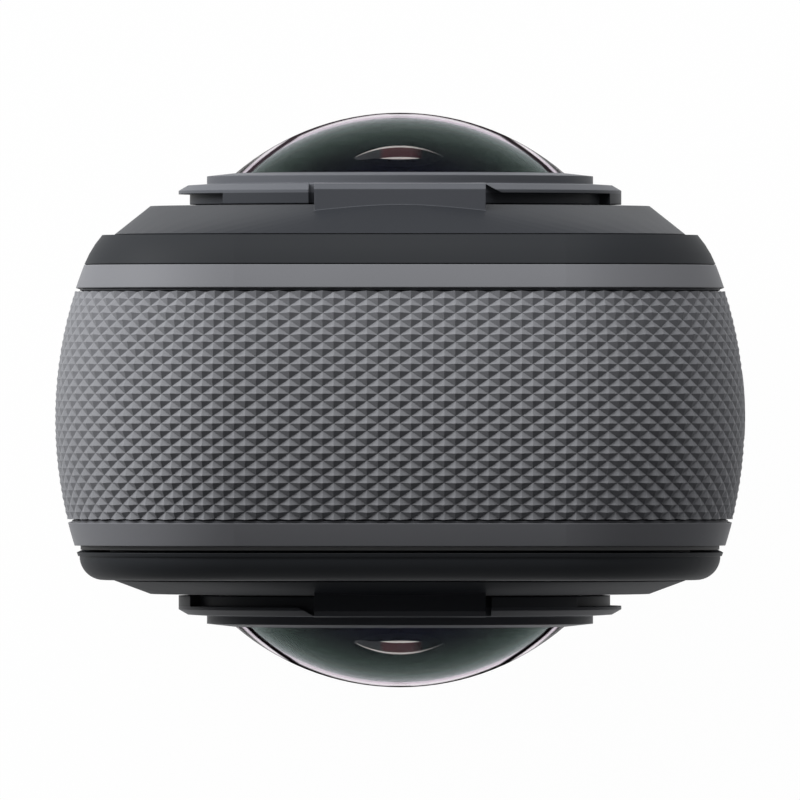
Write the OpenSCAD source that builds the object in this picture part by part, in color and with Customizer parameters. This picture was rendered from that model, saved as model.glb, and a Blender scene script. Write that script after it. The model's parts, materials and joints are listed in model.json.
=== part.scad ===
// Slim 360 degree camera with a fisheye lens on each face.
// Millimetres. Z is up, the front lens looks along -Y, the origin is the middle of the base.

/* [Body] */
// Width across the crowns of the two sides
body_w = 46; // [45:0.5:50]
// Height from the base to the crown of the top
body_h = 124; // [120:1:134]
// Corner radius of the outline, seen from the front
corner_r = 12; // [11.5:0.25:13]
// Radius of the barrel shape that the side wall has from front to rear
barrel_r = 28; // [26:1:36]
// How far the crown of the barrel lies behind the middle plane
barrel_y = 1.25; // [0.75:0.25:1.75]
// Thickness of the middle frame's wall at the crown
frame_wall = 3.6; // [3.4:0.1:3.8]
// Depth of the middle frame in front of the middle plane
frame_front = 9; // [8.8:0.1:9.4]
// Depth of the middle frame behind the middle plane
frame_rear = 9.7; // [9.5:0.1:9.9]

/* [Shells] */
// Thickness of the front shell
front_shell_t = 1.95; // [1.7:0.05:2.2]
// Thickness of the rear shell
rear_shell_t = 1.85; // [1.7:0.05:2.1]
// Radius that rounds the front shell's edge
front_edge_r = 6.7; // [5:0.1:8]
// Radius that rounds the rear shell's edge
rear_edge_r = 1.6; // [1.2:0.1:1.8]
// Seam between the frame and the front shell
front_seam = 0.05; // [0.05:0.05:0.15]
// Open groove between the frame and the rear shell
rear_groove = 0.45; // [0.35:0.05:0.5]
// Depth of the gasket in that groove below the skin
rear_groove_d = 0.25; // [0.2:0.05:0.5]
// Gap between that gasket and the rear shell
gasket_gap = 0.18; // [0.1:0.02:0.22]
// Width of the lip that locates each shell inside the frame
lip_w = 1.4; // [1.2:0.1:1.6]
// Height of that lip
lip_h = 1.5; // [1.2:0.1:1.8]

/* [Lens bezels] */
// Distance of each bezel's face from the middle plane
lens_face = 13; // [12.8:0.1:13.4]
// Distance from the crown of the top down to the bezel's foot
bezel_inset = 3.9; // [3.7:0.1:4.2]
// Width of the bezel's face outside the guard ring's lip
bezel_margin = 1.9; // [1.7:0.05:2]
// Width of the bezel's slope
bezel_slope = 2.35; // [2:0.05:2.5]
// How square the bezel's foot is: 2 is a circle, more is squarer
bezel_square = 4.5; // [3.5:0.25:6]
// Half the width of the key boss above the guard ring
key_half_w = 5.7; // [5:0.1:6.5]

/* [Grip] */
// Depth of the knurled band in front of the middle plane
grip_front = 7.25; // [7:0.05:7.5]
// Depth of the knurled band behind the middle plane
grip_rear = 7.95; // [7.7:0.05:8.1]
// Thickness of the grip from its tips to its back
grip_t = 0.95; // [0.8:0.05:1.1]
// Width of the groove along both edges of the grip
grip_groove = 0.22; // [0.15:0.01:0.3]
// Depth of that groove
grip_groove_d = 0.3; // [0.2:0.05:0.5]
// Length of one knurl diamond along the band
knurl_l = 1.467; // [1.3:0.1:2]
// Width of one knurl diamond across the band
knurl_w = 0.98; // [0.9:0.02:1.4]
// Height of the knurl pyramids on the top
knurl_h = 0.25; // [0.15:0.05:0.35]
// Height of the knurl pyramids on the sides
knurl_side_h = 0.09; // [0.05:0.01:0.2]
// Knurl half-diamonds down each side, below the corner
grip_leg_cells = 12; // [8:2:16]

/* [Lens] */
// Radius of the front element
lens_r = 10.5; // [10.2:0.1:10.6]
// Radius of the front element's outer surface
lens_curve_r = 16.2; // [16:0.1:16.4]
// Gap between the front element and the guard's dome
lens_gap = 0.12; // [0.1:0.02:0.3]
// Thickness of the front element on its axis
lens_mid_t = 6.3; // [6:0.1:6.6]
// Radius of the hollow in the front element's rear face
lens_hollow_r = 3.5; // [3.2:0.1:4]
// Radius of the second element
inner_lens_r = 7.4; // [7:0.1:7.6]
// Radius of the second element's curved face
inner_curve_r = 12; // [11:0.25:14]
// Radius of the rear group
rear_group_r = 5.3; // [5:0.1:5.5]
// Radius of the rear group's curved face
rear_curve_r = 14; // [12:0.5:18]
// Outer radius of the lens barrel
barrel_out_r = 11.6; // [11.5:0.05:11.7]
// Radius of the flange that screws the barrel to its shell
barrel_flange_r = 14.2; // [13.8:0.1:14.6]
// Thickness of that flange
barrel_flange_t = 1.2; // [1:0.1:1.4]

/* [Lens guard] */
// Radius of the guard ring's lip
guard_lip_r = 14.85; // [14.7:0.05:14.9]
// Radius of the finger recesses under the lip
guard_recess_r = 14.1; // [14:0.05:14.3]
// Height of the wall under the lip
guard_wall_h = 0.7; // [0.65:0.05:0.8]
// Height of the lip
guard_lip_h = 0.67; // [0.6:0.01:0.75]
// Height of the bevel on the lip's outer edge
guard_bevel = 0.36; // [0.3:0.02:0.4]
// Width of that bevel
guard_bevel_w = 0.62; // [0.4:0.02:0.8]
// How far the lip's face falls from the rim to the bevel
guard_fall = 0.08; // [0.04:0.02:0.12]
// Radius of the rim that holds the dome
guard_rim_r = 12.95; // [12.8:0.05:13]
// Height of that rim
guard_rim_h = 0.73; // [0.65:0.01:0.85]
// How far the rim's face falls from the dome to its edge
rim_fall = 0.2; // [0.1:0.02:0.3]
// Angle where the first finger recess starts, from the ring's right side
recess_start = 112.4; // [108:0.2:116]
// Angle that the first and second finger recess span
recess_span = 48.6; // [40:0.2:52]
// Angle where the wide finger recess ends
wide_end = 37.2; // [34:0.2:40]
// Angle that the wide finger recess spans
wide_span = 67.2; // [60:0.2:72]
// Radius of the dome's foot
dome_r = 11.1; // [11:0.05:11.2]
// Height of the dome above the guard ring
dome_h = 4.12; // [4:0.02:4.4]
// Wall of the dome
dome_t = 0.2; // [0.2:0.05:0.4]
// Width of the dome's foot
dome_foot_w = 0.35; // [0.2:0.05:0.4]
// Height of the dome's foot
dome_foot_h = 0.35; // [0.2:0.05:0.4]
// Width of the notch in the lip beside the key boss
notch_w = 0.38; // [0.3:0.02:0.5]
// Width of the mitre at the lip's end over the first finger recess
mitre_w = 1.06; // [0.6:0.02:1.2]
// Angle that each bayonet lug spans
lug_span = 22; // [18:1:24]
// Radius of the seal under the guard ring
guard_seal_r = 13.7; // [13.65:0.05:13.75]
// Wire radius of that seal
guard_seal_wire = 0.3; // [0.25:0.05:0.3]

/* [Display] */
// Width of the display glass
glass_w = 36; // [34:0.5:36.5]
// Height of the display glass's lower edge above the base
glass_low = 21; // [20.5:0.25:24]
// Gap between the display glass and the rear bezel
glass_gap = 2.9; // [2.4:0.1:5]
// Thickness of the display glass
glass_t = 0.95; // [0.8:0.05:1.1]
// Border of the glass round the display panel
glass_border = 1.1; // [0.9:0.1:1.6]
// Thickness of the display panel
panel_t = 2; // [1.6:0.1:2.2]
// Corner radius of the opening for the glass
glass_corner_r = 3; // [2.5:0.25:4]

/* [Rear buttons] */
// Radius of the shutter and lens buttons
key_r = 4.2; // [3.8:0.1:4.3]
// Distance of each rear button from the middle
key_x = 7.5; // [7:0.1:8]
// Height of the rear buttons above the base
key_z = 13; // [12.75:0.25:13.25]
// Travel of the rear buttons
key_travel = 0.45; // [0.3:0.05:0.45]
// How far the rear buttons stand proud
key_proud = 0.25; // [0.1:0.05:0.4]
// Width of the board behind the rear buttons
key_board_w = 30; // [28:0.5:30]
// Height of that board
key_board_h = 15; // [14:0.5:15]

/* [Side buttons] */
// Width of the power and quick buttons
side_key_w = 4.7; // [4.2:0.1:5]
// Length of the power and quick buttons
side_key_l = 10.7; // [9:0.1:11]
// Distance from the crown of the top down to the power button's middle
power_drop = 32; // [31:0.5:34]
// Distance between the middles of the two side buttons
side_key_pitch = 16; // [15:0.5:17]
// Width of the board behind the side buttons
side_board_w = 9; // [8:0.5:10]
// Travel of the side buttons
side_key_travel = 0.4; // [0.3:0.05:0.4]
// How far the side buttons stand proud
side_key_proud = 0.2; // [0.1:0.05:0.3]

/* [Battery] */
// Height of the battery cover's lower end above the base
cover_low = 14.5; // [14:0.25:15]
// Distance from the crown of the top down to the battery cover's upper end
cover_drop = 38; // [37:0.25:39]
// Thickness of the battery cell block
cell_t = 10.8; // [9.6:0.1:10.8]
// Gap between the cell block and the charging socket
cell_gap = 0.7; // [0.5:0.1:2]
// Gap between the cell block and each end of its bay
cell_end_gap = 3.75; // [3.25:0.25:5.5]
// Half the width of the opening for the battery in the frame
bay_half_w = 5.6; // [5.55:0.05:5.8]
// Length that each end of the cover runs past that opening
bay_margin = 4; // [3.8:0.1:4.4]
// Length of a latch's thumb tab
latch_l = 4; // [3.5:0.1:4.2]
// Width of a latch's thumb tab
latch_w = 4; // [3.5:0.1:4.4]
// Travel of each latch
latch_travel = 1.7; // [1.6:0.05:1.8]
// How far each latch's tongue reaches behind the frame
latch_bite = 1.4; // [1.2:0.05:1.5]
// Distance of each latch's tab from the end of the cover's plug
latch_inset = 2.2; // [2:0.1:2.6]
// Width of each latch's tongue
tongue_w = 6; // [5:0.25:7]

/* [Port] */
// Height of the charging socket above the base
port_z = 41.5; // [41.5:0.25:43]
// Length of the port door
door_l = 22.4; // [22:0.2:23]
// Half the width of the port door
door_half_w = 5; // [4.8:0.1:5]
// Thickness of the port door at the crown
door_t = 2.55; // [2.4:0.05:2.6]
// Radius of the door's hinge knuckle
knuckle_r = 0.85; // [0.8:0.05:0.85]
// Radius of the hinge pin
hinge_pin_r = 0.4; // [0.35:0.05:0.45]
// Length of the space for the plug's body
plug_l = 13.6; // [13:0.2:14]
// Width of the space for the plug's body
plug_w = 7.4; // [7:0.1:7.6]
// Depth of the space for the plug's body
plug_d = 4.6; // [4.5:0.1:4.8]
// Length of the charging socket's mouth, over its shell
socket_l = 8.94; // [8.9:0.02:9]
// Width of the charging socket's mouth, over its shell
socket_w = 3.2; // [3.1:0.05:3.3]
// Depth of the charging socket behind the plug's space
socket_d = 6.4; // [6:0.1:6.6]
// Sheet thickness of the socket's shell
socket_t = 0.28; // [0.25:0.01:0.32]

/* [Base] */
// Length of the base plate
base_l = 21; // [20:0.5:22]
// Width of the base plate
base_w = 14; // [13:0.25:14]
// Thickness of the base plate
base_t = 2.2; // [2:0.1:2.3]
// Radius of the tripod thread, at its crests in the insert's wall
tripod_r = 3.175; // [3.175:0.005:3.2]
// Depth of the tripod thread
tripod_d = 5.6; // [5:0.1:6]
// Outer radius of the tripod insert
insert_r = 4.95; // [4.6:0.05:5.2]

/* [Front panel] */
// Width of the ribbed front panel
rib_panel_w = 34; // [32:0.5:35]
// Height of the ribbed panel's lower edge above the base
rib_low = 13; // [12:0.5:16]
// Height of the bare strip between the front bezel and the ribbed panel
strip_h = 8.9; // [8:0.1:10]
// Thickness of the ribbed panel below its ribs
rib_panel_t = 0.7; // [0.6:0.05:0.8]
// Distance from rib to rib
rib_pitch = 1.75; // [1.6:0.05:2.4]
// Radius of each rib
rib_r = 0.5; // [0.4:0.05:0.6]

/* [Boards] */
// Height of the main board's lower edge above the base
board_low = 10; // [9:0.5:11]
// Gap between the main board and the flange of the front lens barrel
board_gap = 6.8; // [5:0.1:8]
// Gap between the main board and the front shell's lip
board_edge_gap = 0.4; // [0.3:0.1:0.8]
// Thickness of the main board
board_t = 1; // [0.8:0.1:1]
// Distance of the board's screws from its side edges
post_side = 3; // [2.8:0.1:3.5]
// Distance of the board's screws from its ends
post_end = 4; // [3:0.25:5]
// Distance from the board's upper edge down to the processor's lower edge
processor_drop = 24; // [22:0.5:26]
// Distance of the processor from the board's side edge
processor_side = 6.5; // [5:0.25:8]
// Width of the processor
processor_w = 13; // [10:0.5:14]
// Thickness of the processor
processor_t = 0.9; // [0.7:0.1:1]
// Distance from the processor down to the memory card slot's lower edge
card_drop = 20; // [18:0.5:24]
// Distance from the board's side edge to the inner side of the card slot
card_side = 13.5; // [13:0.25:14.5]
// Width of the memory card slot
card_slot_w = 12; // [11.5:0.1:12.5]
// Height of the memory card slot
card_slot_h = 15; // [14:0.25:16]
// Length of the memory card
card_l = 12.6; // [12:0.1:13]
// Width of the memory card
card_h = 11; // [10.5:0.1:11.5]
// Thickness of the memory card
card_t = 0.7; // [0.6:0.05:0.8]
// Width of a sensor board
sensor_board_w = 23; // [21:0.5:24]
// Width of an image sensor
sensor_w = 9; // [8:0.25:10]
// Thickness of an image sensor
sensor_t = 0.7; // [0.6:0.05:0.8]
// Width of a thermal pad
pad_w = 12; // [10:0.5:14]

/* [Speaker] */
// Gap between the speaker and the port tray
speaker_gap = 0.45; // [0.3:0.05:0.9]
// Width of the speaker
speaker_w = 10; // [9:0.25:10.5]
// Height of the speaker
speaker_h = 12; // [11:0.25:12]
// Depth of the speaker
speaker_d = 3.5; // [3:0.1:4]
// Distance between the speaker's slots
slot_pitch = 2.2; // [2:0.1:2.4]
// Length of each slot
slot_l = 6; // [5:0.25:6.5]
// Width of each slot
slot_w = 1; // [0.8:0.05:1.1]

/* [Clearances] */
// Gap between pieces that are assembled and stay
fit_gap = 0.1; // [0.06:0.02:0.12]
// Gap between pieces that slide past each other
slide_gap = 0.2; // [0.15:0.05:0.25]
// Radial gap of a pin that turns
turn_gap = 0.05; // [0.03:0.01:0.06]

/* [Hidden] */
$fn = 96;

// Skeleton of the outline: the corner axes
hx = body_w / 2 - corner_r;
low_z = corner_r;
top_z = body_h - corner_r;
half_w = body_w / 2;
wall_u = corner_r - frame_wall;
inner_x = half_w - frame_wall;
bezel_face = guard_lip_r + bezel_margin;
bezel_foot = bezel_face + bezel_slope;
lens_z = body_h - bezel_inset - bezel_foot;
bezel_low = lens_z - bezel_foot;

// Depths, all measured from the middle plane
front_in = frame_front + front_seam;
front_out = front_in + front_shell_t;
rear_in = frame_rear + rear_groove;
rear_out = rear_in + rear_shell_t;
grip_y = (grip_rear - grip_front) / 2;
band_w = grip_front + grip_rear;
recess_d = grip_t + turn_gap;

// Heights of the bands on the two sides
cover_high = body_h - cover_drop;
power_z = body_h - power_drop;
quick_z = power_z - side_key_pitch;
grip_low = top_z - grip_leg_cells * knurl_l / 2;
strip_low = cover_low;
recess_low = cover_low - grip_groove;

// Guard and lens stations, measured outward from the middle plane
g0 = lens_face + fit_gap;
g1 = g0 + guard_wall_h;
g2 = g1 + guard_lip_h;
g3 = g2 + guard_rim_h;
dome_base = g3 - 0.05;
dome_apex = dome_base + dome_h;
dome_R = (dome_r * dome_r + dome_h * dome_h) / (2 * dome_h);
dome_c = dome_apex - dome_R;
web_z = g2 + 0.22;
dome_foot = web_z + 0.06;
collar_top = g2 + 0.12;
collar_r = guard_rim_r - 0.8;
bore_r = guard_rim_r - 0.05;
lens_apex = dome_apex - dome_t - lens_gap;
lens_c = lens_apex - lens_curve_r;
lens_back = collar_top - 2.6;
hollow_c = lens_apex - lens_mid_t - lens_hollow_r;
lens_seat_r = lens_r + fit_gap;
second_r = inner_lens_r + 0.15;
third_r = rear_group_r + 0.15;
second_seat = lens_back - 5.4;
barrel_end = 2.05;
board_out = 2;
board_in = 1.2;
spreader_half = 0.5;
spreader_gap = 2.5;

// Side buttons, in distances from the middle towards the outside of the side wall
key_lip = half_w - recess_d - 1;
key_flange_t = 0.9;
key_hole = 0.15;
side_board_out = inner_x - 1.7;
side_board_t = 0.8;
switch_t = 0.8;
side_post_r = 1.2;
side_post_off = 7.9;

// Battery
bay_low = cover_low + bay_margin;
bay_high = cover_high - bay_margin;
plug_half_w = bay_half_w - 0.3;
plug_low = bay_low + 0.3;
plug_high = bay_high - 0.3;
cell_out = inner_x - 2.1;
cell_z = (bay_low + bay_high) / 2;
cell_h = bay_high - bay_low - 2 * cell_end_gap;
stem_l = 2.4;
stem_w = 2.4;

// Port
door_seat = half_w - door_t - 0.25;
pin_x = half_w - 1.05;
knuckle_half = 1.8;
ear_out = 3.2;
ear_half = (ear_out - knuckle_half - slide_gap) / 2;
pin_z = port_z - door_l / 2 - 0.9;
tray_back = door_seat - plug_d;
socket_in = tray_back - socket_d;
cell_w = cell_out + socket_in - cell_gap;
tray_t = 1.1;
tray_half_w = door_half_w + 0.8;
pocket_low = pin_z - knuckle_r - 0.4;
pocket_high = pin_z + 0.9 + door_l + slide_gap + 0.1;
tray_low = pocket_low - 0.8;
tray_high = pocket_high + 0.7;
speaker_z = tray_low - speaker_gap - speaker_h / 2;

// Main board
board_face = front_in - 1.6;
board_back = board_face - board_t;
board_w = 2 * (inner_x - fit_gap - lip_w - board_edge_gap);
board_high = lens_z - barrel_flange_r - board_gap;
post_x = board_w / 2 - post_side;
post_low = board_low + post_end;
post_high = board_high - post_end;
processor_x = -board_w / 2 + processor_side;
processor_z = board_high - processor_drop;
card_x = board_w / 2 - card_side;
card_z = processor_z - card_drop;
card_slot_t = card_t + 0.55;

// Display, ribbed panel and the bare strip above that panel
glass_h = bezel_low - glass_gap - glass_low;
glass_z = glass_low + glass_h / 2;
panel_w = glass_w - 2 * glass_border;
panel_h = glass_h - 2 * glass_border;
rib_panel_h = bezel_low - strip_h - rib_low;
rib_panel_z = rib_low + rib_panel_h / 2;
rib_end = 3;
rib_l = rib_panel_h - 2 * rib_end;
rib_count = floor((rib_panel_w / 2 - rib_end) / rib_pitch);
strip_z = bezel_low - strip_h / 2;
strip_x = 8;
light_r = 0.9;
sound_hole_r = 0.5;

// Base
base_screw_x = base_l / 2 - 2.2;
base_screw_y = base_w / 2 - 2;
base_corner_r = 3;

// Rear keys
key_lip_t = 1.05;
key_board_out = 7.6;
key_flange_out = rear_out - key_lip_t - fit_gap;
key_switch_t = 0.5;
key_stem_in = key_board_out + key_switch_t + key_travel + 0.05;
key_post_x = key_board_w / 2 - 1.6;
key_post_off = key_board_h / 2 - 1.3;
key_light_off = 3.6;
key_sound_off = 4;

function barrel_drop(y) = barrel_r - sqrt(barrel_r * barrel_r - (y - barrel_y) * (y - barrel_y));

// 2D helpers

module rounded(w, h, r) {
    square([w - 2 * r, h], center = true);
    square([w, h - 2 * r], center = true);
    for (sx = [-1, 1], sy = [-1, 1])
        translate([sx * (w / 2 - r), sy * (h / 2 - r)]) circle(r);
}

// Slot with round ends, w across and l long along y
module pill(w, l) {
    square([w, l - w], center = true);
    for (s = [-1, 1]) translate([0, s * (l - w) / 2]) circle(w / 2);
}

module sector(r0, r1, a0, span) {
    intersection() {
        difference() {
            circle(r1);
            circle(r0);
        }
        polygon([
            [0, 0],
            [2 * r1 * cos(a0), 2 * r1 * sin(a0)],
            [2 * r1 * cos(a0 + span / 2), 2 * r1 * sin(a0 + span / 2)],
            [2 * r1 * cos(a0 + span), 2 * r1 * sin(a0 + span)]
        ]);
    }
}

// 3D placing helpers

// Front view outline (x, z) carried from depth y0 to y1
module slab(y0, y1) {
    translate([0, y1, 0]) rotate([90, 0, 0]) linear_extrude(y1 - y0) children();
}

// Side view outline (y, z) carried from x0 to x1
module flank(x0, x1) {
    translate([x0, 0, 0]) rotate([90, 0, 90]) linear_extrude(x1 - x0) children();
}

module left_side() {
    mirror([1, 0, 0]) children();
}

// Lens axis: local z runs outward through the front lens, local y is up
module front_axis() {
    translate([0, 0, lens_z]) rotate([90, 0, 0]) children();
}

module rear_axis() {
    rotate([0, 0, 180]) front_axis() children();
}

// Section (u out from the corner axis, y depth) carried round one quarter at the right of the top
module corner_sweep() {
    rotate([-90, 0, 0]) rotate([0, 0, -90]) rotate_extrude(angle = 90) children();
}

// The same section carried round the whole outline
module round_body() {
    for (s = [0, 1]) mirror([s, 0, 0]) {
        translate([hx, 0, low_z]) linear_extrude(top_z - low_z) children();
        translate([hx, 0, top_z]) corner_sweep() children();
        translate([hx, 0, low_z]) mirror([0, 0, 1]) corner_sweep() children();
    }
    translate([hx, 0, top_z]) rotate([0, -90, 0]) linear_extrude(2 * hx) children();
    translate([-hx, 0, low_z]) rotate([0, 90, 0]) linear_extrude(2 * hx) children();
}

// The same section carried up the sides from a height and over the top
module over_top(z_from) {
    for (s = [0, 1]) mirror([s, 0, 0]) {
        translate([hx, 0, z_from]) linear_extrude(top_z - z_from) children();
        translate([hx, 0, top_z]) corner_sweep() children();
    }
    translate([hx, 0, top_z]) rotate([0, -90, 0]) linear_extrude(2 * hx) children();
}

// Plate that fills the outline between two depths, its edge u out from the corner axes
module body_plate(y0, y1, u) {
    slab(y0, y1) translate([0, body_h / 2])
        rounded(2 * (hx + u), body_h - 2 * (corner_r - u), u);
}

// Section of everything under the skin, d deep below it
module skin_section(d) {
    intersection() {
        translate([corner_r - barrel_r, barrel_y]) circle(barrel_r - d);
        translate([0, -20]) square([corner_r, 40]);
    }
}

// Layer of the right side wall from depth d0 to d1 below the skin
module side_layer(d0, d1, z0, z1) {
    translate([half_w - barrel_r, barrel_y, z0]) linear_extrude(z1 - z0) difference() {
        circle(barrel_r - d0);
        circle(barrel_r - d1);
    }
}

// Middle frame and its grips

module frame_section() {
    difference() {
        intersection() {
            skin_section(0);
            translate([wall_u, -frame_front]) square([frame_wall, frame_front + frame_rear]);
        }
        translate([wall_u + 0.55, -frame_front - 1]) square([0.7, 1.65]);
    }
}

// Cut along the knurled band, wider than the grip by a margin at both edges and d deep
module band_cut(margin, d) {
    difference() {
        translate([wall_u, -grip_front - margin]) square([frame_wall + 1, band_w + 2 * margin]);
        skin_section(d);
    }
}

module recess_section() {
    band_cut(turn_gap, recess_d);
    band_cut(grip_groove, grip_groove_d);
}

module side_key_at(z) {
    translate([grip_y, z]) children();
}

module frame_openings() {
    // Battery bay
    flank(inner_x - 1, half_w + 1)
        translate([grip_y - bay_half_w, bay_low]) square([2 * bay_half_w, bay_high - bay_low]);
    left_side() {
        // Port tray
        flank(inner_x - 1, half_w + 1) translate([grip_y - tray_half_w - fit_gap, tray_low - fit_gap])
            square([2 * (tray_half_w + fit_gap), tray_high - tray_low + 2 * fit_gap]);
        // Side buttons and the counterbores behind their lips
        for (z = [power_z, quick_z]) {
            flank(inner_x - 1, half_w + 1) side_key_at(z)
                pill(side_key_w + 2 * key_hole, side_key_l + 2 * key_hole);
            flank(inner_x - 1, key_lip) side_key_at(z)
                pill(side_key_w + 2.3, side_key_l + 2.3);
        }
        speaker_slots(inner_x - 1, half_w + 1);
    }
    // Base plate, tripod insert and the screws
    translate([0, grip_y, -1]) linear_extrude(base_t + turn_gap + 1)
        rounded(base_l + 2 * fit_gap, base_w + 2 * fit_gap, base_corner_r);
    translate([0, 0, -1]) cylinder(r = insert_r + fit_gap, h = frame_wall + 2);
    base_screw_holes(0.6, frame_wall - 0.2);
}

module speaker_slots(x0, x1) {
    for (i = [0:3]) flank(x0, x1)
        translate([grip_y, speaker_z + slot_pitch * (i - 1.5)]) rotate([0, 0, 90]) pill(slot_w, slot_l);
}

module base_screw_holes(r, h) {
    for (sx = [-1, 1], sy = [-1, 1])
        translate([sx * base_screw_x, grip_y + sy * base_screw_y, -1]) cylinder(r = r, h = h + 1, $fn = 32);
}

module middle_frame() {
    color("#77787b") {
        difference() {
            round_body() frame_section();
            over_top(recess_low) recess_section();
            frame_openings();
        }
        // Stand-offs that carry the side board
        left_side() for (z = [quick_z - side_post_off, (power_z + quick_z) / 2, power_z + side_post_off])
            flank(side_board_out + turn_gap, inner_x + 0.2) translate([grip_y, z])
                circle(side_post_r, $fn = 32);
    }
}

// Knurled saddle over the top: a grid of points, tips where i + j is even
flat_cells = 2 * round(2 * hx / knurl_l);
corner_cells = 2 * round(corner_r * PI / 2 / knurl_l);
leg_cells = grip_leg_cells;
grip_i = flat_cells + 2 * corner_cells + 2 * leg_cells;
grip_j = round(2 * band_w / knurl_w);
back_i = grip_i / 2;
back_j = 8;
phi0 = asin((-grip_front - barrel_y) / barrel_r);
phi1 = asin((grip_rear - barrel_y) / barrel_r);

function path_turn(i) =
    i <= leg_cells ? 0 :
    i <= leg_cells + corner_cells ? 90 * (i - leg_cells) / corner_cells :
    i <= leg_cells + corner_cells + flat_cells ? 90 :
    i <= leg_cells + 2 * corner_cells + flat_cells ?
        90 + 90 * (i - leg_cells - corner_cells - flat_cells) / corner_cells : 180;

function path_x(i) = max(-hx, min(hx, hx - (i - leg_cells - corner_cells) * 2 * hx / flat_cells));

function path_z(i) = top_z - max(0, leg_cells - i, i - (grip_i - leg_cells)) * knurl_l / 2;

function skin_point(i, phi, d) =
    let (u = corner_r - barrel_r + (barrel_r - d) * cos(phi), t = path_turn(i))
    [path_x(i) + u * cos(t), barrel_y + (barrel_r - d) * sin(phi), path_z(i) + u * sin(t)];

// The knurl gets shallower from fade_start to fade_end, in degrees from straight up
fade_start = 40;
fade_end = 80;

function knurl_fade(i) = max(0, min(1, (abs(path_turn(i) - 90) - fade_start) / (fade_end - fade_start)));

function knurl_depth(i) = knurl_h + (knurl_side_h - knurl_h) * knurl_fade(i);

function grip_tip(i, j) = (i + j) % 2 == 0 ? 0 : knurl_depth(i);

// Triangles between two chains of point numbers
function strip(a, b) =
    let (n = len(a) - 1, m = len(b) - 1)
    concat(
        [for (k = [0:n - 1]) [a[k], a[k + 1], b[floor((k + 0.5) * m / n)]]],
        [for (k = [0:m - 1]) [b[k + 1], b[k], a[min(n, ceil((k + 1) * n / m - 0.5))]]]
    );

function flip(t) = [for (f = t) [f[2], f[1], f[0]]];

module top_grip() {
    nj = grip_j + 1;
    mj = back_j + 1;
    first_back = (grip_i + 1) * nj;
    front_points = [for (i = [0:grip_i], j = [0:grip_j])
        skin_point(i, phi0 + (phi1 - phi0) * j / grip_j, grip_tip(i, j))];
    back_points = [for (i = [0:back_i], j = [0:back_j])
        skin_point(2 * i, phi0 + (phi1 - phi0) * j / back_j, grip_t)];
    front_faces = [for (i = [0:grip_i - 1], j = [0:grip_j - 1])
        let (a = i * nj + j, b = a + nj, c = b + 1, d = a + 1)
        each ((i + j) % 2 == 0 ? [[a, d, b], [b, d, c]] : [[a, d, c], [a, c, b]])];
    back_faces = [for (i = [0:back_i - 1], j = [0:back_j - 1])
        let (a = first_back + i * mj + j, b = a + mj, c = b + 1, d = a + 1)
        each [[a, b, d], [b, c, d]]];
    edge_0 = [for (i = [0:grip_i]) i * nj];
    edge_1 = [for (i = [0:grip_i]) i * nj + grip_j];
    back_0 = [for (i = [0:back_i]) first_back + i * mj];
    back_1 = [for (i = [0:back_i]) first_back + i * mj + back_j];
    end_0 = [for (j = [0:grip_j]) j];
    end_1 = [for (j = [0:grip_j]) grip_i * nj + j];
    last_0 = [for (j = [0:back_j]) first_back + j];
    last_1 = [for (j = [0:back_j]) first_back + back_i * mj + j];
    color("#6b6c6f") polyhedron(
        points = concat(front_points, back_points),
        faces = concat(
            front_faces, back_faces,
            strip(edge_0, back_0), flip(strip(edge_1, back_1)),
            flip(strip(end_0, last_0)), strip(end_1, last_1)
        ),
        convexity = 10
    );
}

module left_grip() {
    color("#6b6c6f") left_side() intersection() {
        side_layer(0, grip_t, strip_low, grip_low - fit_gap);
        difference() {
            flank(half_w - 4, half_w + 1) translate([grip_y - band_w / 2, strip_low])
                square([band_w, grip_low - fit_gap - strip_low]);
            for (z = [power_z, quick_z]) flank(half_w - 5, half_w + 2) side_key_at(z)
                pill(side_key_w + 2 * key_hole, side_key_l + 2 * key_hole);
            flank(half_w - 5, half_w + 2) translate([grip_y - door_half_w - slide_gap, pocket_low - fit_gap])
                square([2 * (door_half_w + slide_gap), pocket_high - pocket_low + 2 * fit_gap]);
            speaker_slots(half_w - 5, half_w + 2);
        }
    }
}

module right_grip() {
    color("#6b6c6f") intersection() {
        side_layer(0, grip_t, cover_high + fit_gap, grip_low - fit_gap);
        flank(half_w - 4, half_w + 1) translate([grip_y - band_w / 2, 0]) square([band_w, body_h]);
    }
}

// Shells

front_phi = asin((front_in + barrel_y) / barrel_r);
front_arc_u = corner_r - barrel_r + (barrel_r - front_edge_r) * cos(front_phi);
front_arc_y = barrel_y - (barrel_r - front_edge_r) * sin(front_phi);

module front_section() {
    intersection() {
        translate([front_arc_u, front_arc_y]) circle(front_edge_r);
        translate([front_arc_u, -front_out]) square([corner_r, front_shell_t]);
    }
    translate([0, -front_out]) square([front_arc_u, front_shell_t]);
}

rear_arc_y = rear_out - rear_edge_r;
rear_arc_u = corner_r - barrel_r
    + sqrt(pow(barrel_r - rear_edge_r, 2) - pow(rear_arc_y - barrel_y, 2));

module rear_section() {
    intersection() {
        skin_section(0);
        translate([0, rear_in]) square([corner_r, rear_shell_t]);
        union() {
            translate([rear_arc_u, rear_arc_y]) circle(rear_edge_r);
            square([rear_arc_u, rear_out]);
            square([corner_r, rear_arc_y]);
        }
    }
}

module lip_section(y0) {
    translate([wall_u - fit_gap - lip_w, y0]) square([lip_w, lip_h + 0.2]);
}

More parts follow.
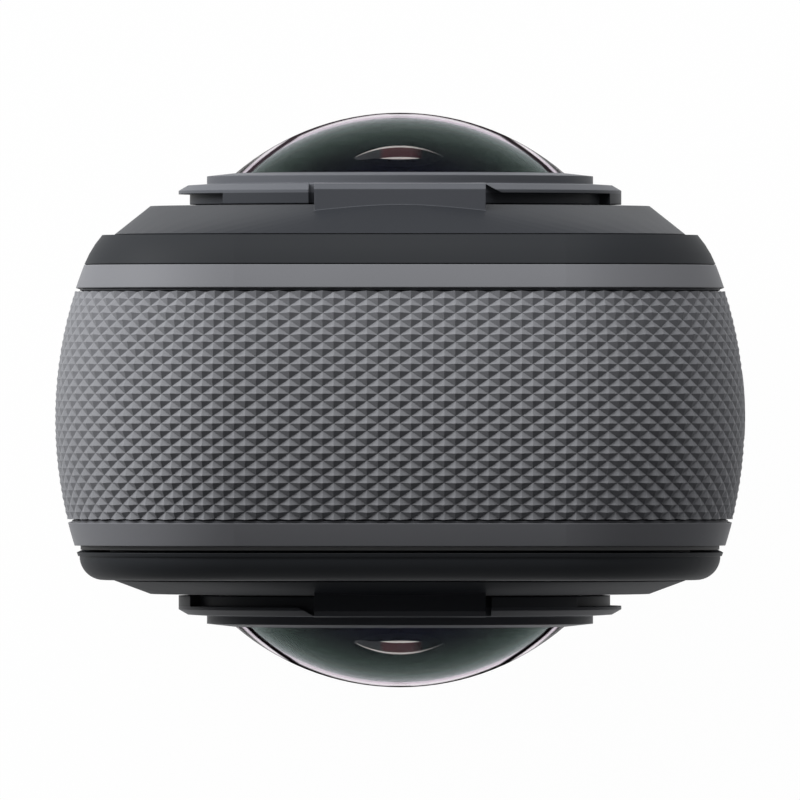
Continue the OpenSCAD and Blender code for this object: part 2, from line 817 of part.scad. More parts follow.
module front_shell() {
    color("#2f3033") {
        difference() {
            union() {
                round_body() front_section();
                slab(-front_out, -front_in) translate([-hx, low_z]) square([2 * hx, top_z - low_z]);
                round_body() lip_section(-front_in - 0.2);
                for (sx = [-1, 1], z = [post_low, post_high])
                    slab(-front_in - 0.2, -board_face - turn_gap) translate([sx * post_x, z])
                        circle(1.8, $fn = 48);
            }
            front_axis() translate([0, 0, front_in - 3]) cylinder(r = guard_rim_r + fit_gap, h = 8);
            slab(-front_out - 1, -front_out + rib_panel_t + turn_gap) rib_outline(fit_gap);
            slab(-front_out - 1, -front_in + 1) {
                translate([-strip_x, strip_z]) circle(light_r + turn_gap, $fn = 32);
                translate([strip_x, strip_z]) circle(sound_hole_r, $fn = 24);
            }
            for (sx = [-1, 1], z = [post_low, post_high])
                slab(-front_in - 0.5, -board_face + 1) translate([sx * post_x, z]) circle(0.7, $fn = 32);
        }
    }
}

module rear_shell() {
    color("#2b2c2f") {
        difference() {
            union() {
                round_body() rear_section();
                slab(rear_in, rear_out) translate([-hx, low_z]) square([2 * hx, top_z - low_z]);
                round_body() lip_section(rear_in - lip_h);
                for (sx = [-1, 1], sz = [-1, 1])
                    slab(key_board_out + turn_gap, rear_in + 0.2)
                        translate([sx * key_post_x, key_z + sz * key_post_off]) circle(1.2, $fn = 32);
            }
            rear_axis() translate([0, 0, rear_in - 3]) cylinder(r = guard_rim_r + fit_gap, h = 8);
            slab(rear_out - glass_t - turn_gap, rear_out + 1) translate([0, glass_z])
                rounded(glass_w + 2 * fit_gap, glass_h + 2 * fit_gap, glass_corner_r);
            slab(rear_in - 1, rear_out + 1) translate([0, glass_z])
                rounded(panel_w + 0.3, panel_h + 0.3, glass_corner_r - 1);
            for (sx = [-1, 1]) {
                slab(rear_in - 1, rear_out + 1) translate([sx * key_x, key_z]) circle(key_r + slide_gap);
                slab(rear_in - 1, rear_out - key_lip_t) translate([sx * key_x, key_z])
                    circle(key_r + 1.3);
            }
            slab(rear_in - 1, rear_out + 1) translate([0, key_z + key_light_off])
                circle(light_r + turn_gap, $fn = 32);
            slab(rear_in - 1, rear_out + 1) translate([0, key_z - key_sound_off])
                circle(sound_hole_r, $fn = 24);
        }
    }
}

module front_gasket() {
    color("#101113") round_body()
        translate([wall_u + 0.6, -frame_front - front_seam / 2]) square([0.6, 0.6]);
}

module rear_gasket() {
    ring_u = corner_r - barrel_drop(rear_in) - rear_groove_d;
    color("#101113") round_body()
        translate([wall_u + 0.2, frame_rear + 0.02])
            square([ring_u - wall_u - 0.2, rear_groove - gasket_gap - 0.02]);
}

// Lens bezels: a soft square foot that slopes up to a round lens face

function foot_point(a) =
    bezel_foot / pow(pow(abs(cos(a)), bezel_square) + pow(abs(sin(a)), bezel_square), 1 / bezel_square)
    * [cos(a), sin(a)];

module bezel_body(ledge) {
    edge_t = 0.02;
    hull() {
        translate([0, 0, ledge]) linear_extrude(edge_t) polygon([for (a = [0:3:357]) foot_point(a)]);
        translate([0, 0, lens_face - edge_t]) cylinder(r = bezel_face, h = edge_t, $fn = 120);
    }
}

// Boss above the guard ring, beveled like the ring's lip
module key_boss(ledge) {
    difference() {
        flank(-key_half_w, key_half_w) polygon([
            [guard_recess_r, ledge], [bezel_face, ledge], [bezel_face, g2 - guard_fall - guard_bevel],
            [bezel_face - guard_bevel_w, g2 - guard_fall], [guard_recess_r, g2]
        ]);
        translate([0, 0, lens_face]) cylinder(r = guard_lip_r + slide_gap, h = 8);
    }
}

module bezel(ledge) {
    difference() {
        union() {
            bezel_body(ledge);
            key_boss(ledge);
        }
        translate([0, 0, ledge - 1]) cylinder(r = guard_rim_r + fit_gap, h = 8);
        translate([0, 0, lens_face - 0.62]) linear_extrude(1) difference() {
            intersection() {
                circle(guard_seal_r + guard_seal_wire + turn_gap);
                circle(guard_lip_r - 0.5);
            }
            circle(guard_seal_r - guard_seal_wire - turn_gap);
        }
    }
}

module front_bezel() {
    color("#37383b") front_axis() bezel(front_out + turn_gap);
}

module rear_bezel() {
    color("#303134") rear_axis() bezel(rear_out + turn_gap);
}

module guard_seal() {
    translate([0, 0, lens_face - 0.25]) rotate_extrude()
        translate([guard_seal_r, 0]) circle(guard_seal_wire, $fn = 32);
}

module front_guard_seal() {
    color("#151617") front_axis() guard_seal();
}

module rear_guard_seal() {
    color("#151617") rear_axis() guard_seal();
}

// Lens guard: bayonet ring with a clear dome

module guard_body() {
    rotate_extrude() polygon([
        [bore_r, g0], [guard_recess_r, g0], [guard_recess_r, g1], [guard_lip_r, g1],
        [guard_lip_r, g2 - guard_fall - guard_bevel], [guard_lip_r - guard_bevel_w, g2 - guard_fall],
        [guard_rim_r, g2], [guard_rim_r, g3 - rim_fall],
        [dome_r + turn_gap, g3], [dome_r + turn_gap, web_z], [bore_r, web_z]
    ]);
    // Full height wall between the finger recesses
    translate([0, 0, g0]) linear_extrude(guard_wall_h + 0.1) difference() {
        circle(guard_lip_r);
        circle(guard_recess_r - 0.3);
        for (a = [recess_start, recess_start + 120])
            sector(guard_recess_r - 1, guard_lip_r + 1, a, recess_span);
        sector(guard_recess_r - 1, guard_lip_r + 1, wide_end - wide_span, wide_span);
    }
    // Bayonet tabs
    translate([0, 0, g0 + 0.15]) linear_extrude(guard_wall_h - 0.15) for (k = [0:2])
        sector(collar_r + 0.15, bore_r + 0.2, 90 - lug_span / 2 + 120 * k, lug_span);
}

// The part of the ring that stands out past the finger recesses, from one height up
module lip_band(low) {
    translate([0, 0, low]) linear_extrude(3) difference() {
        circle(guard_lip_r + 1);
        circle(guard_recess_r);
    }
}

// Notch on one side of the key boss, and the mitred end of the lip on its other side
module lip_ends() {
    behind = 0.3;
    intersection() {
        lip_band(g0 - 0.1);
        translate([key_half_w - behind, 0, 0]) cube([notch_w + behind, 2 * guard_lip_r, 2 * g3]);
    }
    intersection() {
        lip_band(g1 - 0.05);
        rotate([90, 0, 0]) translate([-key_half_w, 0, -2 * guard_lip_r]) linear_extrude(2 * guard_lip_r)
            polygon([[behind, g0], [-mitre_w, g0], [-mitre_w, g1], [0, g2 - guard_fall], [behind, g2 - guard_fall]]);
    }
}

module guard_ring() {
    difference() {
        guard_body();
        lip_ends();
    }
}

module dome() {
    rotate_extrude() intersection() {
        translate([0, dome_c]) circle(dome_R, $fn = 240);
        union() {
            difference() {
                translate([0, dome_foot]) square([dome_r, 10]);
                translate([0, dome_c]) circle(dome_R - dome_t, $fn = 240);
            }
            translate([dome_r - dome_foot_w, dome_foot]) square([dome_foot_w, dome_foot_h]);
        }
    }
}

module front_guard_ring() {
    color("#45464a") front_axis() guard_ring();
}

module rear_guard_ring() {
    color("#3a3b3e") rear_axis() guard_ring();
}

module front_guard_dome() {
    color("#9fc8c4", 0.4) front_axis() dome();
}

module rear_guard_dome() {
    color("#9fc8c4", 0.4) rear_axis() dome();
}

// Lens barrel with the fixed half of the bayonet

module lens_barrel(seat) {
    difference() {
        union() {
            translate([0, 0, barrel_end]) cylinder(r = barrel_out_r, h = collar_top - barrel_end);
            translate([0, 0, seat - barrel_flange_t - turn_gap])
                cylinder(r = barrel_flange_r, h = barrel_flange_t);
            translate([0, 0, seat - 0.5]) cylinder(r = collar_r, h = collar_top - seat + 0.5);
            translate([0, 0, g1 + 0.2]) linear_extrude(collar_top - g1 - 0.25) for (k = [0:2])
                sector(collar_r - 0.2, bore_r - 0.15, 90 - lug_span / 2 + 120 * k, lug_span);
        }
        translate([0, 0, lens_back - 0.05]) cylinder(r = lens_seat_r, h = 10);
        translate([0, 0, collar_top - 0.6]) cylinder(r = lens_r + 1.1, h = 10);
        translate([0, 0, second_seat]) cylinder(r = second_r, h = 20);
        translate([0, 0, barrel_end - 1]) cylinder(r = third_r, h = 20);
        translate([0, 0, barrel_end - 1]) cylinder(r = 9.5, h = 1.9);
    }
}

module front_lens_barrel() {
    color("#1b1c1e") front_axis() lens_barrel(front_in);
}

module rear_lens_barrel() {
    color("#1b1c1e") rear_axis() lens_barrel(rear_in);
}

module lens_element() {
    rotate_extrude() difference() {
        intersection() {
            translate([0, lens_c]) circle(lens_curve_r, $fn = 240);
            translate([0, lens_back]) square([lens_r, 10]);
        }
        translate([0, hollow_c]) circle(lens_hollow_r);
    }
}

module front_lens() {
    color("#6f9a94", 0.6) front_axis() lens_element();
}

module rear_lens() {
    color("#6f9a94", 0.6) rear_axis() lens_element();
}

// Second element and the rear group behind it
module inner_lenses() {
    rotate_extrude() intersection() {
        translate([0, lens_back - 0.6 - inner_curve_r]) circle(inner_curve_r);
        translate([0, lens_back - 3.4]) square([inner_lens_r, 6]);
    }
    rotate_extrude() intersection() {
        translate([0, second_seat - 0.3 - rear_curve_r]) circle(rear_curve_r);
        translate([0, barrel_end + 1.2]) square([rear_group_r, 8]);
    }
}

module front_inner_lenses() {
    color("#4d6b78", 0.7) front_axis() inner_lenses();
}

module rear_inner_lenses() {
    color("#4d6b78", 0.7) rear_axis() inner_lenses();
}

module retainer() {
    translate([0, 0, collar_top - 0.55]) linear_extrude(0.55) difference() {
        circle(lens_r + 1.05);
        circle(lens_r + 0.12);
    }
}

module front_lens_retainer() {
    color("#0d0e0f") front_axis() retainer();
}

module rear_lens_retainer() {
    color("#0d0e0f") rear_axis() retainer();
}

// Sensors, boards and cooling

module sensor_at() {
    translate([0, 0, board_out + 0.02]) linear_extrude(sensor_t)
        square([sensor_w, sensor_w], center = true);
}

module image_sensors() {
    color("#2a2f45") {
        front_axis() sensor_at();
        rear_axis() sensor_at();
    }
}

module sensor_board() {
    translate([0, 0, board_in]) linear_extrude(board_out - board_in)
        rounded(sensor_board_w, sensor_board_w, 1.5);
}

module front_sensor_board() {
    color("#1f5a3c") front_axis() sensor_board();
}

module rear_sensor_board() {
    color("#1f5a3c") rear_axis() sensor_board();
}

// Plate between the two sensor boards, with a pad bonded on each side
module heat_spreader() {
    color("#b87a4b") {
        slab(-spreader_half, spreader_half) translate([-barrel_flange_r, bay_high + spreader_gap])
            square([barrel_flange_r + inner_x - fit_gap, top_z - bay_high - spreader_gap]);
        for (s = [-1, 1]) translate([0, s * (spreader_half + board_in - turn_gap) / 2, lens_z])
            cube([pad_w, board_in - spreader_half - turn_gap, pad_w], center = true);
    }
}

module main_board() {
    color("#1f5a3c") slab(-board_face, -board_back) difference() {
        translate([0, (board_low + board_high) / 2]) rounded(board_w, board_high - board_low, 2);
        for (sx = [-1, 1], z = [post_low, post_high]) translate([sx * post_x, z]) circle(0.9, $fn = 32);
    }
}

module processor() {
    color("#202124") translate([processor_x, -board_back + 0.02, processor_z])
        cube([processor_w, processor_t, processor_w]);
}

module board_screws() {
    color("#9a9ca0") for (sx = [-1, 1], z = [post_low, post_high]) translate([sx * post_x, 0, z]) {
        translate([0, -board_back + 0.04, 0]) rotate([-90, 0, 0]) cylinder(r = 1.5, h = 0.7, $fn = 48);
        translate([0, -front_in - 0.2, 0]) rotate([-90, 0, 0])
            cylinder(r = 0.65, h = front_in - board_back + 0.34, $fn = 32);
    }
}

module memory_card_slot() {
    color("#a5a7aa") difference() {
        translate([card_x, -board_back + 0.02, card_z]) cube([card_slot_w, card_slot_t, card_slot_h]);
        translate([card_x + 0.4, -board_back + 0.22, card_z + 0.4])
            cube([card_slot_w, card_t + 0.15, card_h + 1.2]);
    }
}

module memory_card() {
    color("#26282b") translate([card_x + 0.6, -board_back + 0.3, card_z + 0.9]) 
        cube([card_l, card_t, card_h]);
}

// Battery

module battery_pack() {
    color("#23252a") difference() {
        translate([cell_out - cell_w, grip_y - cell_t / 2, cell_z - cell_h / 2])
            cube([cell_w, cell_t, cell_h]);
        // Contact pads lie in shallow pockets at the inner end
        for (k = [-1, 0, 1])
            translate([cell_out - cell_w - 1, grip_y + 3.2 * k - 1, cell_z - cell_h / 2 + 4])
                cube([1.4, 2, 5]);
    }
}

module cover_plug(inset) {
    translate([grip_y - plug_half_w + inset, plug_low + inset])
        square([2 * (plug_half_w - inset), plug_high - plug_low - 2 * inset]);
}

module latch_slots() {
    for (s = [-1, 1]) {
        tab_end = s > 0 ? plug_high - latch_inset : plug_low + latch_inset;
        mid = tab_end - s * (latch_l + latch_travel) / 2;
        // Opening for the thumb tab
        flank(half_w - recess_d + 0.05, half_w + 2) translate([grip_y, mid])
            square([latch_w + 2 * slide_gap, latch_l + latch_travel + 2 * slide_gap], center = true);
        // Slot for the stem
        flank(inner_x - 4, half_w + 2) translate([grip_y, mid])
            square([stem_w + 2 * slide_gap, stem_l + latch_travel + 2 * slide_gap], center = true);
    }
}

module battery_cover() {
    color("#6b6c6f") difference() {
        union() {
            intersection() {
                side_layer(0, grip_t, cover_low, cover_high);
                flank(half_w - 4, half_w + 1) translate([grip_y - band_w / 2, 0]) square([band_w, body_h]);
            }
            intersection() {
                side_layer(grip_t - 0.2, 12, cover_low, cover_high);
                union() {
                    flank(inner_x, half_w) cover_plug(0);
                    flank(cell_out + turn_gap, half_w) translate([grip_y - plug_half_w, cell_z - 20])
                        square([2 * plug_half_w, 40]);
                }
            }
        }
        // Groove for the seal
        flank(inner_x + 1, inner_x + 1.8) difference() {
            translate([grip_y, cell_z]) square([30, 200], center = true);
            cover_plug(0.5);
        }
        latch_slots();
    }
}

module battery_seal() {
    color("#b5452a") flank(inner_x + 1.05, inner_x + 1.75) difference() {
        cover_plug(-0.22);
        cover_plug(0.45);
    }
}

// s = 1 for the latch at the upper end, -1 for the one at the lower end
module latch(s) {
    tab_end = s > 0 ? plug_high - latch_inset : plug_low + latch_inset;
    bay_end = s > 0 ? bay_high : bay_low;
    tab_mid = tab_end - s * latch_l / 2;
    color("#c8552f") {
        difference() {
            flank(half_w - recess_d + 0.15, half_w + side_key_proud) translate([grip_y, tab_mid])
                square([latch_w, latch_l], center = true);
            // Thumb grooves
            for (k = [-1, 0, 1]) translate([half_w + side_key_proud, grip_y, tab_mid + 1.1 * k])
                rotate([90, 0, 0]) cylinder(r = 0.25, h = 20, center = true, $fn = 24);
        }
        flank(inner_x - 1.5, half_w - recess_d + 0.4) translate([grip_y, tab_mid])
            square([stem_w, stem_l], center = true);
        flank(inner_x - 1.5, inner_x - 0.2)
            translate([grip_y - tongue_w / 2, min(tab_mid - s * stem_l / 2, bay_end + s * latch_bite)])
                square([tongue_w, abs(bay_end + s * latch_bite - tab_mid + s * stem_l / 2)]);
    }
}

module upper_latch() {
    latch(1);
}

module lower_latch() {
    latch(-1);
}

// Port

module port_tray() {
    color("#2c2d30") left_side() difference() {
        union() {
            difference() {
                intersection() {
                    flank(tray_back - tray_t, half_w) translate([grip_y - tray_half_w, tray_low])
                        square([2 * tray_half_w, tray_high - tray_low]);
                    side_layer(recess_d + turn_gap, 20, tray_low - 1, tray_high + 1);
                }
                flank(door_seat, half_w + 1)
                    translate([grip_y - door_half_w - slide_gap, pocket_low])
                        square([2 * (door_half_w + slide_gap), pocket_high - pocket_low]);
            }
            // Ears that hold the hinge pin
            for (s = [-1, 1]) translate([0, grip_y + s * (knuckle_half + slide_gap + ear_out) / 2, 0]) {
                slab(-ear_half, ear_half) translate([pin_x, pin_z]) circle(0.65, $fn = 48);
                slab(-ear_half, ear_half) translate([door_seat - 0.2, pocket_low - 0.1])
                    square([pin_x - door_seat + 0.2, pin_z - pocket_low + 0.35]);
            }
        }
        flank(tray_back, half_w + 1) translate([grip_y, port_z]) rounded(plug_w, plug_l, 1.4);
        flank(tray_back - 5, half_w) translate([grip_y, port_z])
            pill(socket_w + fit_gap, socket_l + fit_gap);
        translate([pin_x, grip_y, pin_z]) rotate([90, 0, 0])
            cylinder(r = hinge_pin_r, h = 2 * ear_out + 1, center = true, $fn = 48);
    }
}

module charging_socket() {
    color("#b9bbbe") left_side() {
        flank(socket_in, tray_back + 0.4) translate([grip_y, port_z]) difference() {
            pill(socket_w, socket_l);
            pill(socket_w - 2 * socket_t, socket_l - 2 * socket_t);
        }
        flank(socket_in, socket_in + 0.8) translate([grip_y, port_z])
            pill(socket_w - 0.2, socket_l - 0.2);
        flank(socket_in + 0.6, tray_back - 0.4) translate([grip_y, port_z])
            square([0.7, 6.7], center = true);
    }
}

module port_door() {
    color("#6b6c6f") left_side() difference() {
        union() {
            intersection() {
                side_layer(0, door_t + 3, pin_z, pin_z + door_l + 2);
                flank(half_w - door_t, half_w + 1) translate([grip_y - door_half_w, pin_z + 0.9])
                    square([2 * door_half_w, door_l]);
            }
            translate([0, grip_y, 0]) {
                slab(-knuckle_half, knuckle_half) translate([pin_x, pin_z]) circle(knuckle_r, $fn = 48);
                slab(-knuckle_half, knuckle_half) translate([pin_x - 0.75, pin_z]) square([1.35, 1.1]);
            }
        }
        translate([pin_x, grip_y, pin_z]) rotate([90, 0, 0])
            cylinder(r = hinge_pin_r + turn_gap, h = 20, center = true, $fn = 48);
        // Fingernail notch at the free end
        flank(half_w - 0.7, half_w + 1) translate([grip_y, pin_z + 0.9 + door_l + 0.6]) circle(2.4);
    }
}

module port_door_pin() {
    color("#b9bbbe") left_side() translate([pin_x, grip_y, pin_z]) rotate([90, 0, 0])
        cylinder(r = hinge_pin_r, h = 2 * ear_out, center = true, $fn = 48);
}

module port_door_seal() {
    color("#b5452a") left_side() flank(door_seat - 0.6, half_w - door_t - 0.03)
        translate([grip_y, port_z]) difference() {
            rounded(plug_w - 0.6, plug_l - 0.6, 1.1);
            rounded(plug_w - 2.2, plug_l - 2.2, 0.6);
        }
}

// Buttons

module side_button(z) {
    left_side() {
        intersection() {
            side_layer(-side_key_proud, 8, z - 10, z + 10);
            flank(key_lip - 0.3, half_w + 2) side_key_at(z) pill(side_key_w, side_key_l);
        }
        flank(key_lip - fit_gap - key_flange_t, key_lip - fit_gap) side_key_at(z)
            pill(side_key_w + 1.8, side_key_l + 1.8);
        flank(side_board_out + switch_t + side_key_travel + fit_gap, key_lip - fit_gap - 0.2)
            side_key_at(z) circle(1.1, $fn = 32);
    }
}

module power_button() {
    color("#8a8c90") side_button(power_z);
}

module quick_button() {
    color("#8a8c90") side_button(quick_z);
}

module side_board() {
    color("#1f5a3c") left_side() flank(side_board_out - side_board_t, side_board_out)
        translate([grip_y, (quick_z + power_z) / 2])
            rounded(side_board_w, side_key_pitch + 2 * (side_post_off + side_post_r), 1);
}

module rear_button(x) {
    slab(key_flange_out - 0.2, rear_out + key_proud) translate([x, key_z]) circle(key_r);
    slab(key_flange_out - 0.7, key_flange_out) translate([x, key_z]) circle(key_r + 1.1);
    slab(key_stem_in, key_flange_out - 0.5) translate([x, key_z]) circle(1.2, $fn = 32);
}

module shutter_button() {
    color("#a8342a") rear_button(key_x);
}

module lens_button() {
    color("#8a8c90") rear_button(-key_x);
}

module key_board() {
    color("#1f5a3c") slab(key_board_out - 0.8, key_board_out) translate([0, key_z]) 
        rounded(key_board_w, key_board_h, 1.5);
}

module switches() {
    color("#c9cbd0") {
        left_side() for (z = [power_z, quick_z])
            flank(side_board_out + 0.02, side_board_out + switch_t) side_key_at(z) circle(2, $fn = 48);
        for (sx = [-1, 1]) slab(key_board_out + 0.02, key_board_out + key_switch_t)
            translate([sx * key_x, key_z]) circle(2, $fn = 48);
    }
}

// Sound and light

module speaker() {
    color("#1a1b1d") left_side() difference() {
        flank(inner_x - fit_gap - speaker_d, inner_x - fit_gap) translate([grip_y, speaker_z])
            rounded(speaker_w, speaker_h, 1.5);
        flank(inner_x - fit_gap - 0.6, inner_x + 1) translate([grip_y, speaker_z])
            rounded(speaker_w - 2.6, speaker_h - 3.4, 1);
    }
}

module microphones() {
    color("#c2a860") {
        slab(-front_in + 0.04, -front_in + 1) translate([strip_x, strip_z])
            square([3, 2.2], center = true);
        slab(rear_in - 1, rear_in - 0.04) translate([0, key_z - key_sound_off])
            square([2.4, 2.2], center = true);
    }
}

module status_lights() {
    color("#dfe8ee") {
        slab(-front_out, -front_in) translate([-strip_x, strip_z]) circle(light_r, $fn = 32);
        slab(rear_in, rear_out) translate([0, key_z + key_light_off]) circle(light_r, $fn = 32);
    }
}

// Display and front panel

module display_glass() {
    color("#0b0d10") slab(rear_out - glass_t, rear_out) translate([0, glass_z])
        rounded(glass_w, glass_h, glass_corner_r - fit_gap);
}

module display_panel() {
    color("#14161b") slab(rear_out - glass_t - fit_gap - panel_t, rear_out - glass_t - fit_gap)
        translate([0, glass_z]) rounded(panel_w, panel_h, glass_corner_r - 1.2);
}

module rib_outline(gap) {
    translate([0, rib_panel_z]) rounded(rib_panel_w + 2 * gap, rib_panel_h + 2 * gap, 4 + gap);
}

module rib_panel() {
    color("#232427") {
        slab(-front_out, -front_out + rib_panel_t) rib_outline(0);
        for (k = [-rib_count:rib_count]) translate([k * rib_pitch, -front_out, rib_low + rib_end])
            cylinder(r = rib_r, h = rib_l, $fn = 24);
    }
}

// Base

module base_plate() {
    color("#3a3b3e") difference() {
        translate([0, grip_y, 0]) linear_extrude(base_t) rounded(base_l, base_w, base_corner_r - fit_gap);
        translate([0, 0, -1]) cylinder(r = insert_r + fit_gap, h = 10);
        for (sx = [-1, 1]) translate([sx * (base_screw_x - 0.4), grip_y, -1]) linear_extrude(2.1)
            rounded(2.6, 5, 0.8);
        base_screw_holes(0.7, base_t + 1);
        base_screw_holes(1.4, 1.1);
    }
}

module base_screws() {
    color("#9a9ca0") for (sx = [-1, 1], sy = [-1, 1])
        translate([sx * base_screw_x, grip_y + sy * base_screw_y, 0]) {
            difference() {
                translate([0, 0, 0.3]) cylinder(r = 1.25, h = 0.78, $fn = 48);
                translate([0, 0, 0.6]) cube([2, 0.4, 0.8], center = true);
            }
            translate([0, 0, 0.9]) cylinder(r = 0.58, h = frame_wall - 1.2, $fn = 32);
        }
}

module tripod_insert() {
    color("#b9bbbe") difference() {
        union() {
            cylinder(r = insert_r, h = tripod_d + 1);
            translate([0, 0, frame_wall + turn_gap]) cylinder(r = insert_r + 1.6, h = 1);
        }
        translate([0, 0, -1]) cylinder(r = tripod_r, h = tripod_d + 1);
    }
}

middle_frame();
top_grip();
left_grip();
right_grip();
front_shell();
rear_shell();
front_gasket();
rear_gasket();
front_bezel();
rear_bezel();
rib_panel();
display_glass();
display_panel();
front_lens_barrel();
rear_lens_barrel();
front_lens();
rear_lens();
front_inner_lenses();
rear_inner_lenses();
front_lens_retainer();
rear_lens_retainer();
front_guard_seal();
rear_guard_seal();
front_guard_ring();
rear_guard_ring();
front_guard_dome();
rear_guard_dome();
image_sensors();
front_sensor_board();
rear_sensor_board();
heat_spreader();
main_board();
processor();
board_screws();
memory_card_slot();
memory_card();
battery_pack();
battery_cover();
battery_seal();
upper_latch();
lower_latch();
port_tray();
charging_socket();
port_door();
port_door_pin();
port_door_seal();
power_button();
quick_button();
side_board();
shutter_button();
lens_button();
key_board();
switches();
speaker();
microphones();
status_lights();
base_plate();
base_screws();
tripod_insert();
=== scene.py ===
import json
import math

import bmesh
import bpy
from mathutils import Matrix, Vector


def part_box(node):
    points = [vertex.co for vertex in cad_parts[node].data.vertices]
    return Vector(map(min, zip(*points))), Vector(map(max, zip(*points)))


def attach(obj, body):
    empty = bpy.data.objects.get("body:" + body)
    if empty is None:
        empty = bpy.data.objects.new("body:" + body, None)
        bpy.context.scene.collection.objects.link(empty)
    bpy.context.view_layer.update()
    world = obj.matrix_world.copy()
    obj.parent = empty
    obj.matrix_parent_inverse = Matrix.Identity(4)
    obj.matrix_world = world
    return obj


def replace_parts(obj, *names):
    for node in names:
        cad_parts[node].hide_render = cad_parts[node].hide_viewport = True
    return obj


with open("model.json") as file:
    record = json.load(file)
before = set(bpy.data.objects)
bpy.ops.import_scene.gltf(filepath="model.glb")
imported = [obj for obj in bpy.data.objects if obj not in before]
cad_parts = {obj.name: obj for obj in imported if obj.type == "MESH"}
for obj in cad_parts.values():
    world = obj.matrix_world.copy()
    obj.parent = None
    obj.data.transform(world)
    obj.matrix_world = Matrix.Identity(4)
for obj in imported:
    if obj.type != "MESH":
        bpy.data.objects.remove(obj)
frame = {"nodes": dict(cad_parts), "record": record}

MM = 0.001
WHITE = (1, 1, 1, 1)
nodes = frame["nodes"]
scene = bpy.context.scene
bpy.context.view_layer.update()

# Sizes of the camera, taken from its solids or equal to those of the solids
half_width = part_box("battery_cover")[1].x
grip_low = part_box("top_grip")[0].z
grip_front, grip_rear = (corner.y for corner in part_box("right_grip"))
barrel_radius = 28 * MM
barrel_crown = 1.25 * MM
knurl_length = 1.467 * MM
knurl_height = 0.09 * MM
knurl_columns = 31

# Sizes of the lenses; the two lenses lie alike on both sides of the middle plane
dome_low, dome_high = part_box("front_guard_dome")
lens_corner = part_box("front_lens")[1]
lens_height = (dome_low.z + dome_high.z) / 2
dome_apex = -dome_low.y
dome_curve = 17.01 * MM
lens_radius = lens_corner.x
lens_back = -lens_corner.y
lens_flank = 3.06 * MM
lens_hollow = 2.15 * MM
lens_hollow_depth = 1 * MM
pupil_gleam = 0.37 * MM
pupil_arc = 1.46 * MM
pupil_arc_curve = 2.8 * MM
pupil_half_width = 0.95 * MM
bezel_face = 13 * MM
guard_lip = 13.8 * MM
boss_rise = 16.75 * MM
boss_half_width = 5.7 * MM

# How far a point of a face may lie off the face, and past its edge
face_slack = 0.02 * MM
edge_slack = 0.05 * MM

# The picture: the width that it takes in at one level, and its camera, which is far away
picture_width = 53.33 * MM
picture_level = 112 * MM
sensor_width = 36
focal_length = 1200
far_clip = 50


class Field:
    """A value that varies over a surface; arithmetic on it adds Math nodes."""

    def __init__(self, tree, socket):
        self.tree = tree
        self.socket = socket

    def math(self, operation, *values):
        node = self.tree.nodes.new("ShaderNodeMath")
        node.operation = operation
        for slot, value in zip(node.inputs, values):
            plug(self.tree, slot, value)
        return Field(self.tree, node.outputs[0])

    def __add__(self, other):
        return self.math("ADD", self, other)

    __radd__ = __add__

    def __sub__(self, other):
        return self.math("SUBTRACT", self, other)

    def __rsub__(self, other):
        return self.math("SUBTRACT", other, self)

    def __mul__(self, other):
        return self.math("MULTIPLY", self, other)

    __rmul__ = __mul__

    def __truediv__(self, other):
        return self.math("DIVIDE", self, other)

    def __rtruediv__(self, other):
        return self.math("DIVIDE", other, self)

    def __pow__(self, other):
        return self.math("POWER", self, other)

    def __gt__(self, other):
        return self.math("GREATER_THAN", self, other)

    def __lt__(self, other):
        return self.math("LESS_THAN", self, other)

    def limited(self):
        return self.math("MINIMUM", self.math("MAXIMUM", self, 0.0), 1.0)

    def fraction(self):
        return self.math("FRACT", self)

    def size(self):
        return self.math("ABSOLUTE", self)


def plug(tree, slot, value):
    """Gives an input socket a value, or the socket of a field."""
    if isinstance(value, Field):
        tree.links.new(value.socket, slot)
    else:
        slot.default_value = value


class Nodes:
    """The nodes of one material or of the world."""

    def __init__(self, tree):
        self.tree = tree

    def node(self, kind, settings=None, sockets=None, out=0):
        made = self.tree.nodes.new(kind)
        for name, value in (settings or {}).items():
            setattr(made, name, value)
        for name, value in (sockets or {}).items():
            plug(self.tree, made.inputs[name], value)
        return Field(self.tree, made.outputs[out])

    def mix(self, factor, first, second):
        """A colour between two colours."""
        sockets = {0: factor, 6: first, 7: second}
        return self.node("ShaderNodeMix", {"data_type": "RGBA"}, sockets, 2)

    def mix_surfaces(self, factor, first, second):
        return self.node("ShaderNodeMixShader", sockets={0: factor, 1: first, 2: second})

    def position(self):
        return self.node("ShaderNodeTexCoord", out="Object")

    def split(self, vector):
        return [self.node("ShaderNodeSeparateXYZ", sockets={0: vector}, out=axis) for axis in "XYZ"]

    def noise(self, size, detail=2.0, where=None):
        """Cloudy noise whose lumps are about the given size."""
        sockets = {"Vector": where or self.position(), "Scale": 1 / size, "Detail": detail}
        return self.node("ShaderNodeTexNoise", sockets=sockets)

    def seen(self):
        """1 for what the camera sees straight, in gloss or through glass, and 0 for light on surfaces."""
        rays = [self.node("ShaderNodeLightPath", out=name)
                for name in ("Is Camera Ray", "Is Glossy Ray", "Is Transmission Ray")]
        return (rays[0] + rays[1] + rays[2]).limited()

    def bump(self, height, depth, normal=None):
        sockets = {"Height": height, "Distance": depth, "Strength": 1.0}
        if normal:
            sockets["Normal"] = normal
        return self.node("ShaderNodeBump", sockets=sockets)

    def rounded_normal(self, radius):
        return self.node("ShaderNodeBevel", {"samples": 6}, {"Radius": radius})

    def edges(self, normal):
        """1 on an edge that the rounded normal turns over, 0 on a plain face."""
        steepness = 6
        face = self.node("ShaderNodeNewGeometry", out="Normal")
        sockets = {0: normal, 1: face}
        turn = self.node("ShaderNodeVectorMath", {"operation": "DOT_PRODUCT"}, sockets, "Value")
        return ((1 - turn) * steepness).limited()


